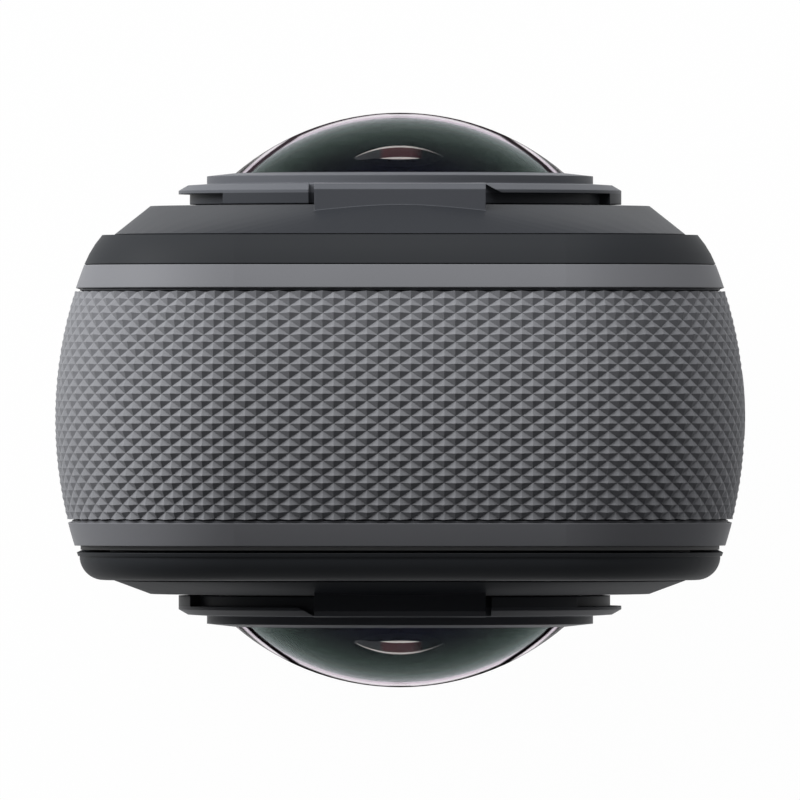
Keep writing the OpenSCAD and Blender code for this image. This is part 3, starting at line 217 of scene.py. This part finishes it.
def paint(code, strength=1.0):
    """Linear colour of a written colour code."""
    parts = [int(code[i:i + 2], 16) / 255 for i in (1, 3, 5)]
    linear = [c / 12.92 if c <= 0.04045 else ((c + 0.055) / 1.055) ** 2.4 for c in parts]
    return (*[c * strength for c in linear], 1.0)


class Finish(Nodes):
    """A material with one Principled shader; a socket's name is given with _ for its spaces."""

    def __init__(self, name, **constants):
        self.material = bpy.data.materials.new(name)
        self.material.use_nodes = True
        super().__init__(self.material.node_tree)
        self.shader = self.tree.nodes["Principled BSDF"]
        self.surface = self.tree.nodes["Material Output"].inputs["Surface"]
        for socket, value in constants.items():
            self.set(socket.replace("_", " "), value)

    def set(self, socket, value):
        plug(self.tree, self.shader.inputs[socket], value)

    def lens_place(self):
        """Distance of a point from the axis of the lenses, and from the camera's middle plane."""
        x, y, z = self.split(self.position())
        rise = z - lens_height
        return (x * x + rise * rise) ** 0.5, y.size()

    def coat(self, factor, colour, **constants):
        """Covers the surface with a second, opaque finish where the factor is 1."""
        sockets = {socket.replace("_", " "): value for socket, value in constants.items()}
        below = Field(self.tree, self.surface.links[0].from_socket)
        above = self.node("ShaderNodeBsdfPrincipled", sockets={"Base Color": colour, **sockets})
        plug(self.tree, self.surface, self.mix_surfaces(factor, below, above))


# Finishes

def moulded(name, code, roughness, grain=0.12 * MM, bumps=0.004 * MM, wear=0.25, rounding=0.1 * MM,
            gloss=0.3, speckle=0.22, outer_code=None, outer_from=0):
    """Painted or moulded surface: fine grain, faint clouding, and edges rubbed a little lighter.

    What lies past a depth, or on top of a bezel's boss, may have a second colour: the guard keeps a darker
    colour under its lip as painted shade, and the bezel is lighter past its face and on the boss's top."""
    dark_shade, light_shade = 0.88, 1.48
    plain_lightness, clouding, cloud_size = 0.2, 0.16, 9 * MM
    finish = Finish(name, Specular_IOR_Level=gloss)
    normal = finish.rounded_normal(rounding)
    edge = finish.edges(normal)
    fine = finish.noise(grain, 3.0)
    cloud = finish.noise(cloud_size)
    lightness = edge * wear + (fine - 0.5) * speckle + (cloud - 0.5) * clouding + plain_lightness

    def shaded(plain_code):
        return finish.mix(lightness.limited(), paint(plain_code, dark_shade), paint(plain_code, light_shade))

    colour = shaded(code)
    # Second colour past a depth: on the guard the darker colour under the lip is painted shade
    if outer_code:
        x, y, z = finish.split(finish.position())
        boss_top = (z - lens_height - boss_rise).size() < face_slack
        on_boss = boss_top * (x.size() < boss_half_width + edge_slack)
        outer = (y.size() > outer_from + face_slack) + on_boss
        colour = finish.mix(outer.limited(), colour, shaded(outer_code))
    finish.set("Base Color", colour)
    rough = (fine - 0.5) * 0.12 + (cloud - 0.5) * 0.1 - edge * 0.08 + roughness
    finish.set("Roughness", rough.limited())
    finish.set("Normal", finish.bump(fine, bumps, normal))
    return finish.material


def bezel_paint(name, gloss):
    return moulded(name, "#2c2e32", 0.48, grain=0.06 * MM, bumps=0.0012 * MM, gloss=gloss,
                   outer_code="#505257", outer_from=bezel_face)


def clear_dome():
    """Coated dome, lilac where it turns away, with a dark line beside its outline.

    The lilac is a tint painted for the coloured reflection of the coating. The line, with a fainter rim on
    the outline itself, is painted shade for the dark that the glass shows at its edge. The line moves inward
    near the dome's foot and gets wider."""
    tint_from, tint_range = 0.55, 0.35
    foot_from, foot_range, foot_inset = 7.2 * MM, 3.7 * MM, 0.385 * MM
    least_width, added_width, width_range = 0.06 * MM, 0.14 * MM, 8 * MM
    start_blur, end_blur = 0.06 * MM, 0.08 * MM
    rim_width, rim_blur, rim_strength = 0.07 * MM, 0.04 * MM, 0.5
    half_wall = 0.1 * MM
    finish = Finish("clear_dome", Transmission_Weight=1.0, IOR=1.02, Roughness=0.0)
    cloud = finish.noise(4 * MM)
    facing = finish.node("ShaderNodeLayerWeight", out="Facing")
    plain = finish.mix(cloud, paint("#d9e3e5"), paint("#e3edef"))
    # Painted reflection: a lilac tint where the dome turns away stands for the coloured reflection of its
    # coating
    painted_lilac_share = ((facing - tint_from) / tint_range).limited()
    finish.set("Base Color", finish.mix(painted_lilac_share, plain, paint("#ebdee6")))

    radius, depth = finish.lens_place()
    rise = depth - (dome_apex - dome_curve)
    outside = (radius * radius + rise * rise) ** 0.5 > dome_curve - half_wall
    inset = (1 - facing) * (1 - facing) * (dome_curve / 2)
    start = ((radius - foot_from) / foot_range).limited() * foot_inset
    width = (radius / width_range).limited() ** 2 * added_width + least_width
    past_start = ((inset - start) / start_blur + 0.5).limited()
    before_end = ((start + width - inset) / end_blur + 0.5).limited()
    rim = ((rim_width - inset) / rim_blur).limited() * rim_strength
    line = (past_start * before_end + rim).limited()
    # Painted shade: a dark coat along the dome's outline, for the dark that the glass shows at its edge
    finish.coat(line * outside, paint("#2a2327"), Roughness=0.6, Specular_IOR_Level=0.0)
    return finish.material


def lens_glass():
    """Front element: coated against reflections, black at its edge and back, with painted shade and a
    painted pupil in its hollow.
    """
    finish = Finish("lens_glass", Transmission_Weight=1.0, IOR=1.7, Roughness=0.0,
                    Thin_Film_Thickness=120.0, Thin_Film_IOR=1.35, Specular_Tint=paint("#d6fffa"))
    cloud = finish.noise(3 * MM)
    finish.set("Base Color", finish.mix(cloud, paint("#eae2e1"), paint("#e2d9d8")))
    radius, depth = finish.lens_place()
    # Painted shade: the hollow is coated black for the dark inside the lens; the flank and back are the
    # element's own black paint
    hollow = (radius < lens_hollow) * (depth < lens_back + lens_hollow_depth)
    flank = (radius > lens_radius - edge_slack) * (depth < lens_back + lens_flank)
    back = depth < lens_back + 2 * face_slack
    blackened = (hollow + flank + back).limited()
    finish.coat(blackened, paint("#060607"), Roughness=0.6, Specular_IOR_Level=0.0)
    pupil(finish, hollow)
    return finish.material


def pupil(finish, hollow):
    """Dark reddish pupil between a straight gleam below and a short curved one above.

    The fill, greyer to one side and fading out to the other, is a painted reflection of the elements behind,
    and the two white metal lines are painted highlights that stand for what gleams on them."""
    grey_from, grey_range = 0.75 * MM, 0.25 * MM
    fill_left, fill_range = 1.1 * MM, 0.6 * MM
    gleam_left, gleam_range = 2 * MM, 1.7 * MM
    half_gleam, half_arc = 0.105 * MM, 0.085 * MM
    x, y, z = finish.split(finish.position())
    gleam = z - lens_height - pupil_gleam
    arc = z - lens_height - pupil_arc + x * x / (2 * pupil_arc_curve)

    # Painted reflection: the pupil's reddish fill of the elements behind, greyer to one side and fading out
    # to the other
    colour = finish.mix(((x - grey_from) / grey_range).limited(), paint("#6e2f32"), paint("#4c4445"))
    fill = (gleam > 0) * (arc < 0) * ((x + fill_left) / fill_range).limited()
    finish.coat(hollow * fill, colour, Roughness=0.3, Specular_IOR_Level=0.2)

    # Painted highlights: a straight gleam and a short curved one, coated in white metal
    gleam_reach = (1 - x * x / (lens_hollow * lens_hollow)) * half_gleam
    arc_reach = (1 - x * x / (pupil_half_width * pupil_half_width)) * half_arc
    fading = ((x + gleam_left) / gleam_range).limited()
    painted_gleams = (gleam.size() < gleam_reach) * fading + (arc.size() < arc_reach)
    finish.coat(hollow * painted_gleams.limited(), paint("#ffeae2"), Metallic=1.0, Roughness=0.05)


def inner_glass():
    """Coated inner elements: nearly black, with a warm reflection."""
    finish = Finish("inner_glass", IOR=1.7, Specular_Tint=paint("#ffb7a0"))
    cloud = finish.noise(2 * MM)
    finish.set("Base Color", finish.mix(cloud, paint("#0a0504"), paint("#140a08")))
    finish.set("Roughness", cloud * 0.06 + 0.05)
    return finish.material


def black_metal():
    """Blackened metal, turned on a lathe about the lens axis: fine rings."""
    ring_pitch, ring_depth, rounding = 0.09 * MM, 0.006 * MM, 0.08 * MM
    finish = Finish("black_metal")
    radius, depth = finish.lens_place()
    where = finish.node("ShaderNodeCombineXYZ", sockets={"X": radius, "Y": depth})
    rings = finish.noise(ring_pitch, 1.0, where)
    normal = finish.rounded_normal(rounding)
    lightness = (finish.edges(normal) * 0.4 + rings * 0.3).limited()
    finish.set("Base Color", finish.mix(lightness, paint("#141517"), paint("#141517", 1.8)))
    finish.set("Roughness", ((rings - 0.5) * 0.2 + 0.5).limited())
    finish.set("Normal", finish.bump(rings, ring_depth, normal))
    return finish.material


def plain_metal(name, code, roughness):
    """Plated or rolled metal with fine scratches along one way."""
    scratch_width, scratch_depth, stretch, rounding = 0.06 * MM, 0.001 * MM, 0.08, 0.06 * MM
    finish = Finish(name, Metallic=1.0)
    x, y, z = finish.split(finish.position())
    along = finish.node("ShaderNodeCombineXYZ", sockets={"X": x * stretch, "Y": y, "Z": z})
    scratch = finish.noise(scratch_width, 2.0, along)
    normal = finish.rounded_normal(rounding)
    lightness = (scratch * 0.6 + finish.edges(normal) * 0.3).limited()
    finish.set("Base Color", finish.mix(lightness, paint(code, 0.8), paint(code, 1.15)))
    finish.set("Roughness", ((scratch - 0.5) * 0.2 + roughness).limited())
    finish.set("Normal", finish.bump(scratch, scratch_depth, normal))
    return finish.material


def socket_metal():
    """Drawn steel shell with a black tongue in it."""
    half_tongue, half_tongue_length, tongue_from = 0.36 * MM, 3.36 * MM, 0.7 * MM
    finish = Finish("socket_metal")
    low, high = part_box("charging_socket")
    x, y, z = finish.split(finish.position())
    thin = (y - (low.y + high.y) / 2).size() < half_tongue
    tall = (z - (low.z + high.z) / 2).size() < half_tongue_length
    tongue = thin * tall * (x > low.x + tongue_from)
    scratch = finish.noise(0.1 * MM, 3.0)
    metal = finish.mix(scratch, paint("#9c9ea1"), paint("#c6c8cb"))
    finish.set("Base Color", finish.mix(tongue, metal, paint("#121315")))
    finish.set("Metallic", 1 - tongue)
    finish.set("Roughness", scratch * 0.15 + tongue * 0.2 + 0.22)
    return finish.material


def seal_rubber(name, code):
    finish = Finish(name)
    fine = finish.noise(0.05 * MM, 3.0)
    finish.set("Base Color", finish.mix(fine, paint(code, 0.8), paint(code, 1.25)))
    finish.set("Roughness", fine * 0.2 + 0.5)
    finish.set("Normal", finish.bump(fine, 0.004 * MM))
    return finish.material


def display_glass():
    """Smeared cover glass, black round the panel behind it."""
    shown_width, shown_height = 0.94, 0.965
    finish = Finish("display_glass", IOR=1.5, Specular_IOR_Level=0.3)
    smear = finish.noise(6 * MM, 5.0)
    x, y, z = finish.split(finish.position())
    low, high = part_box("display_panel")
    columns = x.size() / high.x
    rows = (z - (low.z + high.z) / 2).size() / ((high.z - low.z) / 2)
    shown = (columns < shown_width) * (rows < shown_height)
    panel = finish.mix(smear, paint("#14161a"), paint("#1b1e23"))
    finish.set("Base Color", finish.mix(shown, paint("#060708"), panel))
    finish.set("Roughness", smear * 0.08 + 0.03)
    return finish.material


def display_pixels():
    pixel = 0.06 * MM
    finish = Finish("display")
    x, y, z = finish.split(finish.position())
    dots = ((x / pixel).fraction() > 0.3) * ((z / pixel).fraction() > 0.2)
    finish.set("Base Color", finish.mix(dots, paint("#050506"), paint("#15181d")))
    finish.set("Roughness", dots * 0.1 + 0.25)
    return finish.material


def circuit_board():
    """Green solder mask over copper tracks, with small dark components."""
    tracks_per_metre, chips_per_metre, chip_share, chip_height = 300.0, 330.0, 0.28, 0.05 * MM
    finish = Finish("board", Coat_Weight=0.4, Coat_Roughness=0.2)
    where = finish.position()
    layout = {"offset": 0.37, "squash": 0.8, "squash_frequency": 3}
    sizes = {"Scale": tracks_per_metre, "Mortar Size": 0.06, "Brick Width": 0.9, "Row Height": 0.22}
    tracks = finish.node("ShaderNodeTexBrick", layout, {"Vector": where, **sizes}, "Fac")
    cells = finish.node("ShaderNodeTexVoronoi", {"distance": "CHEBYCHEV"},
                        {"Vector": where, "Scale": chips_per_metre})
    chip = cells < chip_share
    mask = finish.mix(tracks, paint("#1d5a3a"), paint("#2c7a50"))
    finish.set("Base Color", finish.mix(chip, mask, paint("#18191b")))
    finish.set("Roughness", chip * 0.2 + 0.35)
    finish.set("Normal", finish.bump(chip + tracks * 0.15, chip_height))
    return finish.material


def light_window():
    glow_depth = 0.6 * MM
    finish = Finish("light", Subsurface_Weight=0.3, Subsurface_Radius=(glow_depth,) * 3)
    cloud = finish.noise(0.4 * MM)
    finish.set("Base Color", finish.mix(cloud, paint("#8d959b"), paint("#a9b0b5")))
    finish.set("Roughness", cloud * 0.2 + 0.2)
    return finish.material


finishes = {
    "frame_paint": moulded("frame_paint", "#77787c", 0.5, grain=0.05 * MM, bumps=0.0012 * MM, gloss=0.1),
    "grip": moulded("grip", "#808185", 0.5, grain=0.1 * MM, bumps=0.01 * MM, rounding=0.03 * MM, wear=0.15,
                    gloss=0.08, speckle=0.5),
    "shell": moulded("shell", "#25272a", 0.55, grain=0.06 * MM, bumps=0.0012 * MM, gloss=0.1),
    "bezel": bezel_paint("bezel", 0.1),
    # Painted shade: the guard's colour under its lip is darker than the colour past it
    "guard": moulded("guard", "#3c3e42", 0.45, grain=0.06 * MM, bumps=0.001 * MM, gloss=0.05,
                     outer_code="#5b5d62", outer_from=guard_lip),
    "clear_dome": clear_dome(),
    "lens_glass": lens_glass(),
    "black_metal": black_metal(),
    "seal_black": seal_rubber("seal_black", "#121315"),
    "seal_orange": seal_rubber("seal_orange", "#b5452a"),
    "rib_rubber": moulded("rib_rubber", "#26272a", 0.72, bumps=0.006 * MM),
    "display_glass": display_glass(),
    "display": display_pixels(),
    "board": circuit_board(),
    "chip": moulded("chip", "#1d1e20", 0.6),
    "copper": plain_metal("copper", "#c98556", 0.35),
    "steel": plain_metal("steel", "#b9bbbe", 0.3),
    "inner_plastic": moulded("inner_plastic", "#2a2b2e", 0.55),
    "button": moulded("button", "#77797d", 0.4, grain=0.05 * MM, bumps=0.001 * MM),
    "shutter": moulded("shutter", "#a3342b", 0.38, grain=0.05 * MM, bumps=0.001 * MM),
    "latch": moulded("latch", "#c4552f", 0.45),
    "light": light_window(),
}

slot_of = {part["node"]: part["material_slot"] for part in frame["record"]["subparts"]}
for node_name, solid in nodes.items():
    solid.data.materials.clear()
    solid.data.materials.append(finishes[slot_of[node_name]])
for node_name in ("front_inner_lenses", "rear_inner_lenses"):
    nodes[node_name].data.materials[0] = inner_glass()
nodes["rear_bezel"].data.materials[0] = bezel_paint("rear_bezel", 0.01)
nodes["microphones"].data.materials[0] = finishes["black_metal"]
nodes["charging_socket"].data.materials[0] = socket_metal()


# Pieces made here

def placed(name, data):
    """New object in the scene."""
    made = bpy.data.objects.new(name, data)
    scene.collection.objects.link(made)
    return made


def piece(name, mesh, slot, body="camera"):
    made = placed(name, mesh)
    mesh.materials.clear()
    mesh.materials.append(finishes[slot])
    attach(made, body)
    return made


def smooth(mesh, sharp):
    """Smooth faces, apart from edges that turn by more than an angle in degrees."""
    mesh.polygons.foreach_set("use_smooth", [True] * len(mesh.polygons))
    mesh.set_sharp_from_angle(angle=math.radians(sharp))


def mesh_of(name, work, sharp=20):
    """Turns a bmesh into a smoothed mesh."""
    bmesh.ops.recalc_face_normals(work, faces=work.faces)
    mesh = bpy.data.meshes.new(name)
    work.to_mesh(mesh)
    work.free()
    smooth(mesh, sharp)
    return mesh


def bar(work, rings):
    """Closed bar through rings of four corners."""
    for near, far in zip(rings, rings[1:]):
        for n in range(4):
            m = (n + 1) % 4
            work.faces.new((near[n], near[m], far[m], far[n]))
    work.faces.new(rings[0])
    work.faces.new(rings[-1])


def knurl_block(side, low, high):
    """Block that is knurled on the outer face of one side wall, between two heights."""
    skin, block_depth, margin = 0.02 * MM, 7 * MM, 2
    step = knurl_length / 2
    first, last = (math.asin((y - barrel_crown) / barrel_radius) for y in (grip_front, grip_rear))
    top_row = math.floor((grip_low - high) / step) - margin
    low_row = math.ceil((grip_low - low) / step) + margin
    rows = range(top_row, low_row + 1)
    columns = range(-margin, knurl_columns + margin + 1)
    work = bmesh.new()
    grid = []
    for k in rows:
        line = []
        for j in columns:
            angle = first + (last - first) * j / knurl_columns
            reach = barrel_radius - skin - (0 if (j - k) % 2 == 0 else knurl_height)
            x = side * (half_width - barrel_radius + reach * math.cos(angle))
            y = barrel_crown + reach * math.sin(angle)
            line.append(work.verts.new((x, y, grip_low - k * step)))
        grid.append(line)

    # Two triangles between four points, folded along the line between the hollows
    for r, k in enumerate(rows[:-1]):
        for c, j in enumerate(columns[:-1]):
            a, d = grid[r][c:c + 2]
            b, e = grid[r + 1][c:c + 2]
            corners = ((a, d, b), (b, d, e)) if (j - k) % 2 == 0 else ((a, d, e), (a, e, b))
            for corner in corners:
                work.faces.new(corner)

    rim = grid[0][:-1] + [line[-1] for line in grid[:-1]]
    rim += grid[-1][:0:-1] + [line[0] for line in grid[:0:-1]]
    back = side * (half_width - block_depth)
    behind = [work.verts.new((back, v.co.y, v.co.z)) for v in rim]
    for n in range(len(rim)):
        m = (n + 1) % len(rim)
        work.faces.new((rim[n], rim[m], behind[m], behind[n]))
    work.faces.new(behind)
    return mesh_of("knurl_block", work)


def knurled(node_name, side, body):
    """The node's own shape with the knurl cut into its outer face."""
    same_point, facet_angle = 0.0005 * MM, 4
    low, high = (corner.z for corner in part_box(node_name))
    work = bmesh.new()
    work.from_mesh(nodes[node_name].data)
    bmesh.ops.remove_doubles(work, verts=work.verts, dist=same_point)
    shape = placed("shape", mesh_of("shape", work))
    tool = placed("tool", knurl_block(side, low, high))
    cut = shape.modifiers.new("cut", "BOOLEAN")
    cut.operation = "INTERSECT"
    cut.solver = "EXACT"
    cut.object = tool
    bpy.context.view_layer.update()
    mesh = bpy.data.meshes.new_from_object(shape.evaluated_get(bpy.context.evaluated_depsgraph_get()))
    mesh.attributes.remove(mesh.attributes["custom_normal"])
    smooth(mesh, facet_angle)
    for helper in (shape, tool):
        bpy.data.objects.remove(helper)
    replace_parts(piece("knurled_" + node_name, mesh, "grip", body), node_name)


def tripod_thread():
    """Thread ridge in the wall of the tripod socket."""
    crest, root = 2.65 * MM, 3.2 * MM
    pitch, depth, start = 1.27 * MM, 4.4 * MM, 0.58 * MM
    half_crest, half_root = 0.06 * pitch, 0.42 * pitch
    profile = ((root, -half_root), (crest, -half_crest), (crest, half_crest), (root, half_root))
    per_turn = 48
    work = bmesh.new()
    rings = []
    for n in range(int(depth / pitch * per_turn)):
        angle = 2 * math.pi * n / per_turn
        height = pitch * n / per_turn + start
        rings.append([work.verts.new((r * math.cos(angle), r * math.sin(angle), height + rise))
                      for r, rise in profile])
    bar(work, rings)
    piece("tripod_thread", mesh_of("tripod_thread", work, 35), "steel")


def speaker_mesh():
    """Woven wire cloth in the mouth of the speaker, behind the slots."""
    wide, tall, set_back = 7.2 * MM, 8.4 * MM, 0.3 * MM
    pitch, wire = 0.4 * MM, 0.09 * MM
    low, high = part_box("speaker")
    middle_y, middle_z = (low.y + high.y) / 2, (low.z + high.z) / 2
    face = low.x + set_back
    work = bmesh.new()

    def strand(count, length, place):
        """One wire that goes over and under the ones that it crosses."""
        corners = ((wire, 0), (0, wire), (-wire, 0), (0, -wire))
        rings = []
        for n in range(2 * round(length / pitch) + 1):
            along = n * pitch / 2 - length / 2
            wave = wire * math.sin(math.pi * (n / 2 + 0.5 + count))
            rings.append([work.verts.new(place(along, side, face + wave + out)) for side, out in corners])
        bar(work, rings)

    for count in range(round(wide / pitch)):
        across = (count + 0.5) * pitch - wide / 2
        strand(count, tall, lambda along, side, out: (out, middle_y + across + side, middle_z + along))
    for count in range(round(tall / pitch)):
        across = (count + 0.5) * pitch - tall / 2
        strand(count + 1, wide, lambda along, side, out: (out, middle_y + along, middle_z + across + side))
    piece("speaker_mesh", mesh_of("speaker_mesh", work, 60), "black_metal")


def socket_contacts():
    """Plated contacts on both faces of the socket's tongue."""
    contacts, pitch, half_contact = 12, 0.5 * MM, 0.13 * MM
    half_tongue, lift, edge = 0.35 * MM, 0.04 * MM, 0.03 * MM
    low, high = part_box("charging_socket")
    middle_y, middle_z = (low.y + high.y) / 2, (low.z + high.z) / 2
    near, far = low.x + 0.95 * MM, low.x + 5 * MM
    work = bmesh.new()
    for side in (-1, 1):
        foot = middle_y + side * (half_tongue - lift)
        for n in range(contacts):
            place = middle_z + (n - (contacts - 1) / 2) * pitch
            rings = []
            for x, shrink in ((near, edge), (near + edge, 0), (far, 0)):
                top = middle_y + side * (half_tongue + lift - shrink)
                across = half_contact - shrink
                corners = ((foot, -across), (top, edge - across), (top, across - edge), (foot, across))
                rings.append([work.verts.new((x, y, place + z)) for y, z in corners])
            bar(work, rings)
    piece("socket_contacts", mesh_of("socket_contacts", work, 30), "copper")


for node_name, side, body in (("left_grip", -1, "camera"), ("right_grip", 1, "camera"),
                              ("battery_cover", 1, "camera"), ("port_door", -1, "port_door")):
    knurled(node_name, side, body)
tripod_thread()
speaker_mesh()
socket_contacts()


# Camera, floor and light

def view_from_above():
    """Camera far above the top end, with the front lens at the top of the picture."""
    data = bpy.data.cameras.new("view")
    data.sensor_width = sensor_width
    data.lens = focal_length
    data.clip_end = far_clip
    camera = placed("view", data)
    camera.location = (0, 0, picture_level + picture_width * focal_length / sensor_width)
    camera.rotation_euler = (0, 0, math.pi)
    scene.camera = camera


def floor():
    """Round pale floor, clear from below: white to the camera, in gloss and through glass."""
    floor_radius, white_share = 0.18, 0.985
    work = bmesh.new()
    bmesh.ops.create_circle(work, cap_ends=True, segments=96, radius=floor_radius)
    made = placed("floor", mesh_of("floor", work))
    finish = Finish("floor", Base_Color=paint("#e8e8e8"), Roughness=0.9)
    plain = Field(finish.tree, finish.shader.outputs[0])
    glow = finish.node("ShaderNodeEmission", sockets={"Color": WHITE, "Strength": 1.0})
    lit = finish.mix_surfaces(finish.seen() * white_share, plain, glow)
    below = finish.node("ShaderNodeNewGeometry", out="Backfacing")
    clear = finish.node("ShaderNodeBsdfTransparent")
    plug(finish.tree, finish.surface, finish.mix_surfaces(below, lit, clear))
    made.data.materials.append(finish.material)


def surroundings():
    """White to the camera, and a dim even light on surfaces."""
    dim = (0.043, 0.043, 0.045, 1)
    world = bpy.data.worlds.new("surroundings")
    world.use_nodes = True
    scene.world = world
    sky = Nodes(world.node_tree)
    colour = sky.mix(sky.seen(), dim, WHITE)
    plug(sky.tree, world.node_tree.nodes["Background"].inputs["Color"], colour)


def softbox(name, place, width, height, power):
    """Lamp that is turned to the upper half of the camera."""
    aim = Vector((0, 0, 0.09))
    data = bpy.data.lights.new(name, "AREA")
    data.shape = "RECTANGLE"
    data.size = width
    data.size_y = height
    data.energy = power
    light = placed(name, data)
    light.location = place
    light.rotation_euler = (aim - Vector(place)).to_track_quat("-Z", "Y").to_euler()
    light.visible_camera = False
    light.visible_transmission = False


view_from_above()
floor()
surroundings()
softbox("front_box", place=(0.06, -0.52, 0.36), width=0.5, height=0.3, power=2.7)
softbox("left_box", place=(0.45, -0.28, 0.24), width=0.3, height=0.4, power=3.3)
softbox("right_box", place=(-0.45, -0.28, 0.2), width=0.3, height=0.4, power=0.6)
scene.view_settings.view_transform = "Standard"
